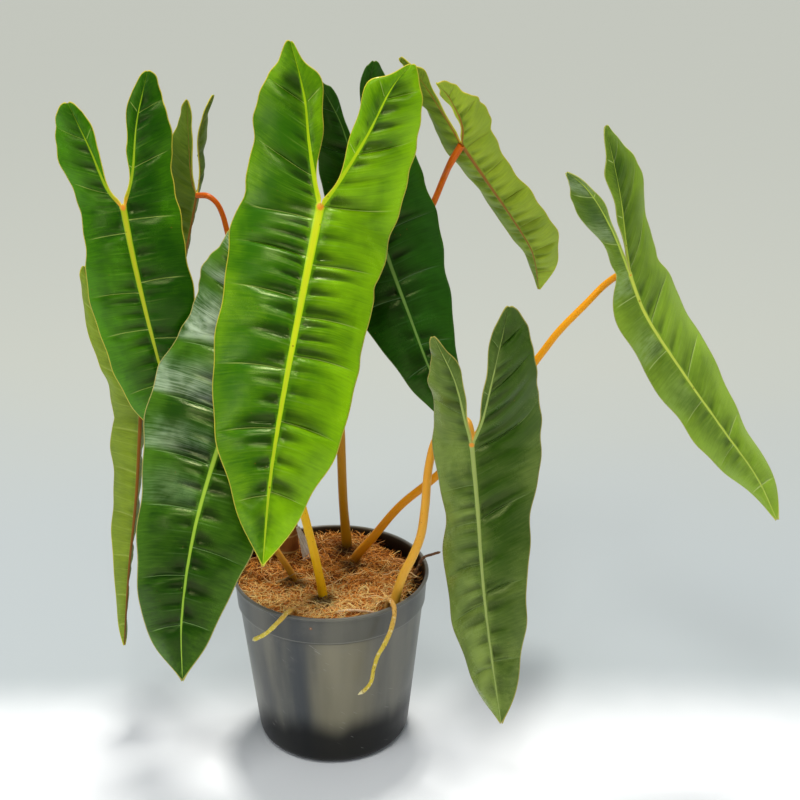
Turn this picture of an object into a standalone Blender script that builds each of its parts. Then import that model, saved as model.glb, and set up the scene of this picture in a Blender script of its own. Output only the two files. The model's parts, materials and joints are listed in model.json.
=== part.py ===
# Potted plant: nine long drooping leaves with back lobes, on orange stalks, in a round nursery pot
import math

import bmesh
import bpy
import numpy as np
from mathutils import Vector
from mathutils.bvhtree import BVHTree

MM = 0.001
GAP = 0.3 * MM

# pot
POT_HEIGHT = 174 * MM
RIM_RADIUS = 95 * MM
BAND_HEIGHT = 29 * MM
BAND_STEP = 3.0 * MM
BASE_RADIUS = 75 * MM
BASE_ROUND = 9 * MM
WALL = 1.4 * MM
FLOOR = 2.4 * MM
POT_SEGMENTS = 56
DRAIN_HOLES = 6
DRAIN_RADIUS = 4.5 * MM
DRAIN_CIRCLE = 52 * MM

# coconut fibre filling
FILL_HEIGHT = 164 * MM
FILL_RINGS = 9
FILL_SECTORS = 40
LUMP = 2.6 * MM

# stem
STEM_FOOT = (-45, 50, 118)
STEM_TOP = (-48, 56, 236)
STEM_RADIUS = 11 * MM

# blades
BLADE_HALF_THICK = 0.42 * MM
MIDRIB_HALF_WIDTH = 4.2 * MM
MIDRIB_DROP = 1.9 * MM
BLADE_COLUMNS = 18
LOBE_COLUMNS = 8
PUFF = 0.045
DROOP = 0.8
PLEAT = 1.6 * MM
VEIN_COLUMNS = 3
MARGIN_WAVE = 2.0 * MM
BLADE_SWEEP = (0, 4, 6, 8, 12, 20, 42)
LOBE_SWEEP = (0, 25, 35, 45, 62)
INNER_SHARE = 0.26  # of the space between the two lobes that the inner side of one may take
TURN_LENGTH = 42 * MM

STALK_SIDES = 10
STALK_STEP = 16 * MM
ROOT_SIDES = 8
ROOT_STEP = 9 * MM

# rib points, face directions and half widths of each leaf, in millimetres;
# left and right are as seen from the front, half widths run from the stalk outwards
LEAVES = {
    "1": {
        "midrib": [(-4, 20, 527), (-19, -28, 456), (-34, -77, 381), (-44, -108, 320), (-51, -130, 249)],
        "left_rib": [(-9, 30, 549), (-14, 42, 582), (-18, 54, 620), (-29, 60, 665)],
        "right_rib": [(14, 28, 550), (39, 38, 589), (60, 44, 628), (76, 46, 647)],
        "left_face": [(0.1, -1, 0.1), (-0.05, -0.95, 0.35), (-0.2, -0.9, 0.35)],
        "right_face": [(0.1, -1, 0.1), (0.3, -0.95, 0.35), (0.3, -0.9, 0.35)],
        "left": [78, 76, 73, 70, 66, 56, 40, 26, 5],
        "right": [72, 67, 64, 64, 62, 57, 43, 28, 5],
        "left_lobe": [78, 58, 54, 45, 27, 16],
        "right_lobe": [72, 60, 52, 44, 33, 18],
        "left_inner": [3, 3, 15, 23, 15, 9],
        "right_inner": [3, 2, 14, 27, 18, 8],
        "inner_share": 0.44,
        "stalk": [(13, 62, 133), (13, 60, 165), (10, 58, 220), (9, 54, 292), (8, 48, 373), (5, 42, 444),
                  (1, 38, 497)],
        "stalk_radius": (4.8, 3.6),
        "wave": 5,
    },
    "2": {
        "midrib": [(-181, 30, 524), (-173, 16, 484), (-162, 8, 425), (-155, 10, 383), (-144, 20, 302)],
        "left_rib": [(-194, 36, 537), (-210, 44, 575), (-227, 50, 613)],
        "right_rib": [(-174, 40, 547), (-168, 55, 598), (-157, 62, 639)],
        "left_face": [(-0.25, -1, 0.1), (-0.25, -0.9, 0.3), (-0.1, -0.9, 0.3)],
        "right_face": [(0, -1, 0.1), (0.1, -0.95, 0.35), (0.1, -0.9, 0.35)],
        "left": [43, 45, 52, 52, 49, 46, 43, 31, 5],
        "right": [50, 48, 47, 46, 43, 37, 28, 18, 4],
        "left_lobe": [43, 34, 36, 35, 27, 14],
        "right_lobe": [50, 37, 37, 32, 22, 12],
        "left_inner": [3, 2, 6, 17, 18, 9],
        "right_inner": [3, 2, 9, 15, 17, 9],
        "stalk": [(-53, 51, 212), (-57, 53, 244), (-72, 63, 276), (-104, 72, 312), (-130, 68, 368),
                  (-154, 60, 430), (-172, 50, 489)],
        "stalk_radius": (3.2, 2.9),
        "wave": 4,
    },
    "3": {
        "midrib": [(-67, -14, 419), (-84, -50, 359), (-101, -88, 309), (-113, -113, 265), (-123, -135, 199),
                   (-124, -146, 144)],
        "left_rib": [(-71, 0, 438), (-77, 14, 466), (-84, 26, 503)],
        "right_rib": [(-57, 0, 438), (-45, 10, 463), (-34, 20, 488)],
        "left_face": [(-0.1, -1, 0.2), (-0.12, -0.95, 0.3), (-0.3, -0.9, 0.25)],
        "right_face": [(-0.1, -1, 0.3), (0.1, -0.95, 0.35), (0.25, -0.9, 0.35)],
        "left": [67, 76, 75, 66, 57, 50, 45, 33, 5],
        "right": [49, 54, 56, 57, 56, 50, 39, 26, 5],
        "left_lobe": [67, 51, 46, 34, 19, 12],
        "right_lobe": [49, 42, 38, 30, 21, 12],
        "left_inner": [3, 2, 10, 18, 15, 8],
        "right_inner": [3, 2, 7, 13, 12, 7],
        "stalk": [(-4, -38, 131), (-6, -38, 165), (-12, -38, 204), (-21, -36, 247), (-32, -30, 293),
                  (-46, -16, 347), (-59, 0, 385)],
        "stalk_radius": (4.4, 3.4),
        "wave": 5,
    },
    "4": {
        "midrib": [(-127, 108, 518), (-137, 116, 480), (-157, 128, 408), (-189, 134, 303)],
        "left_rib": [(-131, 110, 532), (-133, 118, 568), (-133, 124, 605)],
        "right_rib": [(-125, 119, 535), (-126, 136, 568), (-113, 150, 606)],
        "left_face": [(-0.35, -0.9, 0.2), (-0.4, -0.9, 0.1), (-0.5, -0.85, 0.1)],
        "right_face": [(0.75, -0.4, 0.05), (0.95, 0.15, -0.1), (0.95, 0.2, -0.1)],
        "left": [45, 47, 50, 53, 52, 49, 42, 25, 4],
        "right": [45, 47, 50, 53, 52, 49, 42, 25, 4],
        "left_lobe": [45, 34, 25, 18, 13, 8],
        "right_lobe": [45, 34, 25, 18, 13, 8],
        "left_inner": [3, 2, 4, 8, 7, 5],
        "right_inner": [3, 2, 4, 8, 7, 5],
        "stalk": [(-53, 61, 212), (-56, 69, 248), (-63, 87, 330), (-82, 95, 420), (-97, 96, 481),
                  (-103, 98, 504), (-112, 98, 518)],
        "stalk_radius": (3.2, 2.5),
        "under": True,
        "wave": 4,
    },
    "5": {
        "midrib": [(-182, 40, 322), (-188, 18, 244), (-199, 5, 166), (-208, -2, 89)],
        "left_rib": [(-197, 50, 346), (-218, 66, 392), (-233, 78, 456)],
        "right_rib": [(-180, 56, 342), (-190, 74, 366), (-205, 92, 382)],
        "left_face": [(-0.6, -0.8, 0.2), (-0.62, -0.78, 0.1), (-0.4, -0.9, 0.1)],
        "right_face": [(0.9, -0.3, 0.3), (1, 0.15, 0.05), (1, 0.2, 0.05)],
        "left": [42, 42, 35, 32, 26, 20, 16, 13, 4],
        "right": [40, 46, 48, 46, 42, 36, 28, 18, 4],
        "left_lobe": [42, 28, 22, 24, 20, 12],
        "right_lobe": [40, 30, 24, 20, 15, 8],
        "left_inner": [3, 3, 14, 24, 22, 12],
        "right_inner": [3, 2, 4, 7, 8, 5],
        "stalk": [(-33, -8, 131), (-36, -6, 165), (-51, -4, 194), (-84, 24, 234), (-124, 46, 278),
                  (-150, 54, 304), (-166, 47, 319)],
        "joint_side": (1, -0.2, 0),
        "stalk_radius": (3.4, 2.6),
        "under": True,
        "wave": 4,
    },
    "6": {
        "midrib": [(35, 98, 525), (55, 82, 465), (75, 65, 414), (97, 48, 359), (127, 36, 297)],
        "left_rib": [(22, 98, 558), (11, 92, 592), (-6, 80, 628)],
        "right_rib": [(35, 104, 562), (36, 108, 608), (43, 108, 642)],
        "left_face": [(-0.2, -1, 0.3), (-0.1, -0.9, 0.5), (-0.2, -0.9, 0.5)],
        "right_face": [(0.2, -1, 0.3), (0.3, -0.9, 0.5), (0.3, -0.9, 0.5)],
        "left": [39, 38, 42, 45, 41, 31, 23, 13, 4],
        "right": [60, 63, 60, 51, 44, 36, 28, 17, 4],
        "left_lobe": [39, 36, 31, 26, 20, 12],
        "right_lobe": [60, 49, 42, 34, 23, 12],
        "left_inner": [3, 2, 9, 12, 16, 9],
        "right_inner": [3, 2, 14, 20, 20, 11],
        "stalk": [(-43, 51, 212), (-40, 55, 248), (-16, 78, 330), (6, 100, 420), (20, 112, 480), (30, 114, 510)],
        "stalk_radius": (3.2, 2.9),
        "wave": 4,
    },
    "7": {
        "midrib": [(124, 90, 570), (154, 130, 523), (183, 170, 477), (206, 206, 435), (219, 250, 383)],
        "left_rib": [(106, 84, 600), (86, 72, 631), (68, 60, 652)],
        "right_rib": [(124, 76, 588), (112, 52, 616), (99, 30, 634)],
        "left_face": [(0.1, -0.6, -0.8), (-0.3, -0.75, -0.6), (-0.3, -0.75, -0.6)],
        "right_face": [(0.1, -0.6, -0.8), (0.1, -0.75, -0.6), (0.1, -0.75, -0.6)],
        "fold": 18,
        "left": [27, 25, 26, 24, 21, 19, 16, 10, 4],
        "right": [32, 27, 27, 29, 31, 33, 32, 25, 5],
        "left_lobe": [27, 24, 21, 17, 12, 8],
        "right_lobe": [32, 29, 24, 17, 13, 9],
        "left_inner": [3, 2, 3, 9, 9, 5],
        "right_inner": [3, 2, 3, 6, 7, 5],
        "stalk": [(-43, 61, 212), (-38, 71, 262), (6, 114, 340), (62, 127, 430), (99, 125, 506),
                  (109, 114, 534), (115, 94, 553)],
        "stalk_radius": (3.2, 3.1),
        "under": True,
        "wave": 4,
    },
    "8": {
        "midrib": [(129, -88, 344), (134, -102, 294), (140, -121, 222), (148, -138, 159), (157, -148, 101)],
        "left_rib": [(124, -90, 362), (113, -96, 406), (95, -100, 446)],
        "right_rib": [(136, -90, 362), (143, -100, 402), (155, -110, 475)],
        "left_face": [(-0.15, -1, 0.2), (-0.25, -1, 0.2), (-0.35, -0.95, 0.2)],
        "right_face": [(0.15, -1, 0.2), (0.15, -1, 0.2), (0.2, -0.95, 0.2)],
        "fold": (30, 0),
        "left": [46, 44, 42, 50, 46, 45, 40, 31, 5],
        "right": [62, 57, 48, 44, 39, 36, 28, 20, 5],
        "left_lobe": [46, 36, 33, 26, 18, 10],
        "right_lobe": [62, 50, 43, 36, 27, 14],
        "left_inner": [3, 2, 6, 10, 9, 5],
        "right_inner": [3, 3, 12, 11, 15, 9],
        "stalk": [(60, -47, 131), (62, -47, 164), (70, -46, 193), (78, -45, 210), (86, -44, 232),
                  (90, -43, 262), (93, -40, 300), (100, -38, 328), (114, -46, 346), (126, -60, 354)],
        "stalk_radius": (4.6, 3.4),
        "wave": 4,
    },
    "9": {
        "midrib": [(269, -16, 475), (283, -24, 442), (318, -36, 391), (356, -44, 340), (391, -48, 293),
                   (412, -50, 253)],
        "left_rib": [(247, -34, 521), (222, -54, 559), (204, -62, 575)],
        "right_rib": [(265, -12, 498), (258, -2, 543), (243, 4, 601)],
        "left_face": [(-0.2, -1, 0.2), (-0.1, -0.8, 0.6), (-0.3, -0.8, 0.55)],
        "right_face": [(0.3, -1, 0.2), (0.35, -0.85, 0.5), (0.3, -0.8, 0.55)],
        "fold": (40, 15),
        "left": [20, 29, 30, 35, 31, 31, 29, 17, 4],
        "right": [44, 54, 52, 46, 37, 30, 27, 22, 5],
        "left_lobe": [20, 14, 24, 27, 19, 10],
        "right_lobe": [44, 35, 37, 32, 21, 10],
        "left_inner": [3, 2, 3, 6, 6, 4],
        "right_inner": [3, 2, 9, 13, 10, 6],
        "stalk": [(17, 28, 131), (20, 28, 165), (42, 26, 197), (67, 24, 230), (104, 20, 266), (152, 14, 325),
                  (196, 8, 392), (212, 8, 415), (236, 12, 440), (252, 16, 456), (263, 10, 467)],
        "stalk_radius": (4.4, 3.0),
        "wave": 4,
    },
}

# aerial roots: points and radii in millimetres
ROOTS = {
    "root_front_left": {
        "path": [(-27, -64, 146), (-28, -68, 160), (-30, -76, 172), (-34, -86, 177.8), (-43, -96, 172.5),
                 (-54, -98, 162), (-68, -91, 150)],
        "radius": (2.4, 1.9),
        "color": (0.55, 0.34, 0.14, 1.0),
    },
    "root_front_right": {
        "path": [(54, -55, 150), (55, -59, 166), (56.5, -64, 175.6), (58.5, -69.5, 178.6), (61, -76, 178),
                 (62, -81, 172), (58, -86, 156), (53, -89, 145), (47, -91, 134), (43, -93, 122), (40, -93, 106),
                 (34, -94, 98), (28, -95, 94)],
        "radius": (2.5, 1.7),
        "color": (0.52, 0.45, 0.16, 1.0),
    },
    "root_right": {
        "path": [(74, 10, 146), (82, 11, 162), (90, 11, 180), (99, 11, 184), (107, 12, 186)],
        "radius": (2.0, 1.2),
        "color": (0.28, 0.14, 0.06, 1.0),
    },
    "surface_root": {
        "path": [(5, -63, 157), (9, -65, 164), (20, -66, 166.5), (34, -66.5, 166), (44, -66, 163.5), (49, -66, 158)],
        "radius": (1.5, 1.2),
        "color": (0.72, 0.55, 0.35, 1.0),
    },
}

CATAPHYLL_PATH = [(-25, 38, 140), (-25, 38, 166), (-29, 39, 182), (-35, 41, 199)]
CATAPHYLL_WIDTHS = (9, 10, 7, 1.5)
CATAPHYLL_THICK = 0.9 * MM


def unit(vectors):
    vectors = np.asarray(vectors, float)
    return vectors / np.maximum(np.linalg.norm(vectors, axis=-1, keepdims=True), 1e-12)


def smooth_line(points, places):
    """Round line through the points, read at the places, which run from 0 to 1 by length."""
    knots = np.asarray(points, float)
    ends = np.vstack([2 * knots[0] - knots[1], knots, 2 * knots[-1] - knots[-2]])
    fine = []
    for i in range(len(knots) - 1):
        a, b, c, d = ends[i:i + 4]
        k0 = 0.0
        k1 = k0 + math.sqrt(np.linalg.norm(b - a))
        k2 = k1 + math.sqrt(np.linalg.norm(c - b))
        k3 = k2 + math.sqrt(np.linalg.norm(d - c))
        t = np.linspace(k1, k2, 30, endpoint=False)[:, None]
        ab = ((k1 - t) * a + (t - k0) * b) / (k1 - k0)
        bc = ((k2 - t) * b + (t - k1) * c) / (k2 - k1)
        cd = ((k3 - t) * c + (t - k2) * d) / (k3 - k2)
        first = ((k2 - t) * ab + (t - k0) * bc) / (k2 - k0)
        second = ((k3 - t) * bc + (t - k1) * cd) / (k3 - k1)
        fine.append(((k2 - t) * first + (t - k1) * second) / (k2 - k1))
    fine = np.vstack(fine + [knots[-1:]])
    run = np.concatenate([[0], np.cumsum(np.linalg.norm(np.diff(fine, axis=0), axis=1))])
    at = np.asarray(places) * run[-1]
    return np.stack([np.interp(at, run, fine[:, i]) for i in range(3)], -1)


def smooth_value(values, at):
    """Round curve through evenly spaced values, read between 0 and 1."""
    values = np.asarray(values, float)
    last = len(values) - 1
    x = np.clip(np.asarray(at, float), 0, 1) * last
    i = np.minimum(x.astype(int), last - 1)
    f = x - i
    ends = np.concatenate([[2 * values[0] - values[1]], values, [2 * values[-1] - values[-2]]])
    a, b, c, d = ends[i], ends[i + 1], ends[i + 2], ends[i + 3]
    return b + 0.5 * f * (c - a + f * (2 * a - 5 * b + 4 * c - d + f * (3 * (b - c) + d - a)))


def straight_value(values, at):
    return np.interp(at, np.linspace(0, 1, len(values)), values)


def new_object(name, verts, faces, color, roughness=0.5, smooth=True):
    mesh = bpy.data.meshes.new(name)
    mesh.from_pydata([tuple(v) for v in verts], [], faces)
    mesh.validate()
    obj = bpy.data.objects.new(name, mesh)
    bpy.context.scene.collection.objects.link(obj)
    material = bpy.data.materials.new(name + "_material")
    material.use_nodes = True
    shader = material.node_tree.nodes["Principled BSDF"]
    shader.inputs["Base Color"].default_value = color
    shader.inputs["Roughness"].default_value = roughness
    material.diffuse_color = color
    mesh.materials.append(material)
    work = bmesh.new()
    work.from_mesh(mesh)
    bmesh.ops.recalc_face_normals(work, faces=work.faces)
    work.to_mesh(mesh)
    work.free()
    mesh.polygons.foreach_set("use_smooth", [smooth] * len(mesh.polygons))
    return obj


def tube(name, points, radii, step, sides, color, roughness=0.45, grow=0.0):
    """Round solid along a line, with radii from foot to head."""
    points = np.array(points, float)
    points[0] += grow * unit(points[0] - points[1])
    points[-1] += grow * unit(points[-1] - points[-2])
    length = float(np.sum(np.linalg.norm(np.diff(points, axis=0), axis=1)))
    count = max(5, int(round(length / step)) + 1)
    places = np.linspace(0, 1, count)
    line = smooth_line(points, places)
    ahead = unit(np.gradient(line, axis=0))
    ahead[0] = unit(points[1] - points[0])
    ahead[-1] = unit(points[-1] - points[-2])
    across = unit(np.cross(ahead[0], (0.3, 1.0, 0.1)))
    verts = []
    faces = []
    for i in range(count):
        across = unit(across - ahead[i] * float(np.dot(across, ahead[i])))
        side = np.cross(ahead[i], across)
        radius = straight_value(radii, places[i]) + grow
        for j in range(sides):
            angle = 2 * math.pi * j / sides
            verts.append(line[i] + radius * (math.cos(angle) * across + math.sin(angle) * side))
    for i in range(count - 1):
        for j in range(sides):
            k = (j + 1) % sides
            faces.append((i * sides + j, i * sides + k, (i + 1) * sides + k, (i + 1) * sides + j))
    faces.append(tuple(range(sides))[::-1])
    faces.append(tuple((count - 1) * sides + j for j in range(sides)))
    return new_object(name, verts, faces, color, roughness)


def cut(target, cutters):
    """Subtract all cutters from the target in one step and remove them."""
    holder = bpy.data.collections.new(target.name + "_cutters")
    bpy.context.scene.collection.children.link(holder)
    for cutter in cutters:
        cutter.hide_render = True
        cutter.display_type = 'WIRE'
        for owner in list(cutter.users_collection):
            owner.objects.unlink(cutter)
        holder.objects.link(cutter)
    modifier = target.modifiers.new("holes", 'BOOLEAN')
    modifier.operation = 'DIFFERENCE'
    modifier.operand_type = 'COLLECTION'
    modifier.collection = holder
    modifier.solver = 'EXACT'
    bpy.context.view_layer.update()
    result = bpy.data.meshes.new_from_object(target.evaluated_get(bpy.context.evaluated_depsgraph_get()))
    target.modifiers.remove(modifier)
    old = target.data
    target.data = result
    bpy.data.meshes.remove(old)
    for cutter in cutters:
        bpy.data.objects.remove(cutter, do_unlink=True)
    bpy.data.collections.remove(holder)
    work = bmesh.new()
    work.from_mesh(target.data)
    bmesh.ops.remove_doubles(work, verts=work.verts, dist=0.00002)
    bmesh.ops.dissolve_degenerate(work, edges=work.edges, dist=0.00002)
    work.to_mesh(target.data)
    work.free()


class Leaf:
    """Ribs, side directions and faces of one leaf, in metres."""

    def __init__(self, spec):
        self.spec = spec
        fold = spec.get("fold", 0)
        self.fold = {"left": fold, "right": fold} if not isinstance(fold, tuple) else {
            "left": fold[0], "right": fold[1]}
        self.midrib = np.array(spec["midrib"], float) * MM
        self.lobe = {s: np.vstack([self.midrib[:1], np.array(spec[s + "_rib"], float) * MM])
                     for s in ("left", "right")}

    def turned(self, side, ahead, face, sign):
        out = unit(np.cross(face, ahead)) * sign
        face = unit(np.cross(ahead, out)) * sign
        turn = math.radians(self.fold[side])
        return (math.cos(turn) * out - math.sin(turn) * face,
                math.cos(turn) * face + math.sin(turn) * out)

    def outer(self, side, lobe_places, blade_places):
        """Base points, directions, faces and half widths from lobe tip to blade tip."""
        spec = self.spec
        sign = 1 if side == "right" else -1
        lobe = smooth_line(self.lobe[side], lobe_places)
        blade = smooth_line(self.midrib, blade_places)
        fine = np.vstack([smooth_line(self.lobe[side], np.linspace(1, 0, 61)),
                          smooth_line(self.midrib, np.linspace(0, 1, 101))[1:]])
        run = np.concatenate([[0], np.cumsum(np.linalg.norm(np.diff(fine, axis=0), axis=1))])
        lobe_length = run[60]
        base = np.vstack([lobe[::-1], blade[1:]])
        at = np.concatenate([lobe_length * (1 - np.asarray(lobe_places)[::-1]),
                             lobe_length + (run[-1] - lobe_length) * np.asarray(blade_places)[1:]])

        def read(where):
            where = np.clip(where, 0, run[-1])
            return np.stack([np.interp(where, run, fine[:, i]) for i in range(3)], -1)

        ahead = unit(read(at + TURN_LENGTH) - read(at - TURN_LENGTH))
        part = np.concatenate([1 - np.asarray(lobe_places)[::-1], 1 + np.asarray(blade_places)[1:]])
        faces = np.array(spec[side + "_face"], float)
        face = np.stack([np.interp(part, (0, 1, 2), faces[:, i]) for i in range(3)], -1)
        out, face = self.turned(side, ahead, face, sign)
        sweep = np.where(part < 1, -straight_value(LOBE_SWEEP, 1 - part), straight_value(BLADE_SWEEP, part - 1))
        sweep = np.radians(sweep)[:, None]
        direction = np.cos(sweep) * out + np.sin(sweep) * ahead
        lobe_width = smooth_value(spec[side + "_lobe"], 1 - part) * np.sqrt(np.clip(1 - (1 - part) ** 6, 0, 1))
        blade_width = smooth_value(spec[side], part - 1) * np.sqrt(np.clip(1 - np.clip(part - 1, 0, 1) ** 12, 0, 1))
        width = np.where(part < 1, lobe_width, blade_width) * MM
        return base, direction, face, width, part

    def inner(self, side, lobe_places):
        spec = self.spec
        sign = 1 if side == "right" else -1
        places = np.asarray(lobe_places)
        base = smooth_line(self.lobe[side], places)
        ahead = unit(smooth_line(self.lobe[side], np.minimum(places + 0.08, 1))
                     - smooth_line(self.lobe[side], np.maximum(places - 0.08, 0)))
        faces = np.array(spec[side + "_face"], float)
        face = faces[1] + (faces[0] - faces[1]) * places[:, None]
        out = unit(np.cross(face, ahead)) * sign
        face = unit(np.cross(ahead, out)) * sign
        sweep = np.radians(straight_value(LOBE_SWEEP, places))[:, None]
        direction = np.cos(sweep) * out + np.sin(sweep) * ahead
        width = smooth_value(spec[side + "_inner"], places) * np.sqrt(np.clip(1 - places ** 6, 0, 1)) * MM
        return base, direction, face, width


def leaf_sheet(spec, blade_columns, lobe_columns):
    """Middle sheet of a leaf: points, triangles, share of rib thickness, and points that lean as their rib."""
    leaf = Leaf(spec)
    blade_places = np.linspace(0, 1, blade_columns + 1)
    lobe_places = np.linspace(0, 1, lobe_columns + 1)
    midrib = smooth_line(leaf.midrib, blade_places)
    points = list(midrib)
    rib_part = list(1 - 0.75 * blade_places)
    mid_ids = list(range(blade_columns + 1))
    triangles = []
    lobe_ids = {}
    for side in ("left", "right"):
        ribs = smooth_line(leaf.lobe[side], lobe_places)
        ids = [0]
        for i in range(1, lobe_columns + 1):
            ids.append(len(points))
            points.append(ribs[i])
            rib_part.append(0.8 - 0.55 * lobe_places[i])
        lobe_ids[side] = ids

    def strip(columns, flip):
        for a, b in zip(columns[:-1], columns[1:]):
            if len(a) == 1:
                pairs = [(a[0], b[j], b[j + 1]) for j in range(len(b) - 1)]
            elif len(b) == 1:
                pairs = [(a[j], b[0], a[j + 1]) for j in range(len(a) - 1)]
            else:
                pairs = []
                for j in range(len(a) - 1):
                    pairs.append((a[j], b[j], b[j + 1]))
                    pairs.append((a[j], b[j + 1], a[j + 1]))
            for tri in pairs:
                triangles.append(tri[::-1] if flip else tri)

    def row(base, direction, face, width, out_parts, ripple, wave):
        ids = []
        for t in out_parts:
            lift = PUFF * width * 4 * t * (1 - t) - DROOP * width * width * t * t
            lift += ripple * math.sin(math.pi * min(t, 1.0)) + wave * t * t
            ids.append(len(points))
            points.append(base + direction * (width * t) + face * lift)
            rib_part.append(0.0)
        return ids

    joint_direction = {}
    for side in ("left", "right"):
        base, direction, face, width, part = leaf.outer(side, lobe_places, blade_places)
        spine = lobe_ids[side][::-1] + mid_ids[1:]
        columns = []
        for i, rib in enumerate(spine):
            if i in (0, len(spine) - 1):
                columns.append([rib])
                continue
            narrow = min(0.3, MIDRIB_HALF_WIDTH * (0.25 + 0.75 * rib_part[rib]) / width[i])
            step = abs(i - lobe_columns) + (0 if side == "left" else 2)
            ripple = -PLEAT if step % VEIN_COLUMNS == 0 else 0.5 * PLEAT
            wave = MARGIN_WAVE * math.sin(part[i] * spec["wave"] * math.pi + (0.7 if side == "left" else 2.1))
            columns.append([rib] + row(base[i], direction[i], face[i], width[i], (narrow, 0.5, 1.0), ripple, wave))
        strip(columns, side == "left")
        base, direction, face, width = leaf.inner(side, lobe_places)
        joint_direction[side] = (base, direction, face, width)
    middle = unit(unit(leaf.lobe["left"][1] - leaf.lobe["left"][0])
                  + unit(leaf.lobe["right"][1] - leaf.lobe["right"][0]))
    joint = len(points)
    near = np.linalg.norm(points[lobe_ids["left"][1]] - points[lobe_ids["right"][1]])
    points.append(midrib[0] + middle * min(0.45 * near, 4 * MM))
    rib_part.append(0.15)
    leaning = {joint: 0}
    for side in ("left", "right"):
        base, direction, face, width = joint_direction[side]
        columns = []
        for i, rib in enumerate(lobe_ids[side]):
            if i == 0:
                columns.append([rib, joint])
            elif i == lobe_columns:
                columns.append([rib])
            else:
                apart = np.linalg.norm(points[lobe_ids["left"][i]] - points[lobe_ids["right"][i]])
                reach = min(width[i], spec.get("inner_share", INNER_SHARE) * apart)
                wave = MARGIN_WAVE * 0.5 * math.sin(i * 1.9) if reach > 6 * MM else 0.0
                ids = row(base[i], direction[i], face[i], reach, (1.0,), 0.0, wave)
                columns.append([rib] + ids)
                if reach < 5 * MM:
                    leaning[ids[0]] = rib
        strip(columns, side == "left")
    return np.array(points), triangles, np.array(rib_part), leaning


def solid_from_sheet(name, sheet, under, color):
    """Closed blade: the sheet offset to both faces, alike triangles, thicker ribs beneath, joined rim."""
    points, triangles, rib_part, leaning = sheet
    normals = np.zeros_like(points)
    for a, b, c in triangles:
        n = np.cross(points[b] - points[a], points[c] - points[a])
        for k in (a, b, c):
            normals[k] += n
    normals = unit(normals)
    for edge, rib in leaning.items():
        normals[edge] = normals[rib]
    front = np.full(len(points), BLADE_HALF_THICK)
    back = np.full(len(points), BLADE_HALF_THICK)
    ridge = MIDRIB_DROP * rib_part
    if under:
        front = front + ridge
        back = back + 0.25 * ridge
    else:
        back = back + ridge
        front = front + 0.25 * ridge
    count = len(points)
    verts = list(points + normals * front[:, None]) + list(points - normals * back[:, None])
    faces = [tuple(t) for t in triangles]
    faces += [(c + count, b + count, a + count) for a, b, c in triangles]
    edges = {}
    for a, b, c in triangles:
        for p, q in ((a, b), (b, c), (c, a)):
            edges[(p, q)] = True
    for p, q in edges:
        if (q, p) not in edges:
            faces.append((q, p, p + count))
            faces.append((q, p + count, q + count))
    return new_object(name, verts, faces, color, 0.35)


def leaf_blade(key, spec):
    sheet = leaf_sheet(spec, BLADE_COLUMNS, LOBE_COLUMNS)
    shade = (0.16, 0.3, 0.06, 1.0) if spec.get("under") else (0.07, 0.22, 0.03, 1.0)
    return solid_from_sheet("blade_" + key, sheet, spec.get("under"), shade)


def stalk_line(spec, blade):
    """Stalk points in metres, ending just short of the back of the blade at its joint."""
    joint = np.array(spec["midrib"][0], float) * MM
    down = unit(np.array(spec["midrib"][1], float) * MM - joint)
    face = unit(unit(spec["left_face"][1]) + unit(spec["right_face"][1]))
    face = unit(face - down * float(np.dot(face, down)))
    back = face if spec.get("under") else -face
    if "joint_side" in spec:
        back = unit(np.array(spec["joint_side"]) - down * float(np.dot(spec["joint_side"], down)))
    radius = spec["stalk_radius"][1] * MM
    across = np.cross(back, down)
    tree = BVHTree.FromPolygons([Vector(v.co) for v in blade.data.vertices],
                                [tuple(p.vertices) for p in blade.data.polygons])
    start = joint + back * 14 * MM
    reach = 14 * MM
    for share in (0.0, 0.5, 1.05):
        for i in range(12):
            angle = i * math.pi / 6
            origin = start + radius * share * (math.cos(angle) * across + math.sin(angle) * down)
            hit = tree.ray_cast(Vector(origin), Vector(-back))
            if hit[0] is not None:
                reach = min(reach, hit[3])
    end = start - back * (reach - GAP)
    bend = end + back * 10 * MM
    points = [np.array(p, float) * MM for p in spec["stalk"]]
    return np.array(points + [bend, end])


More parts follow.
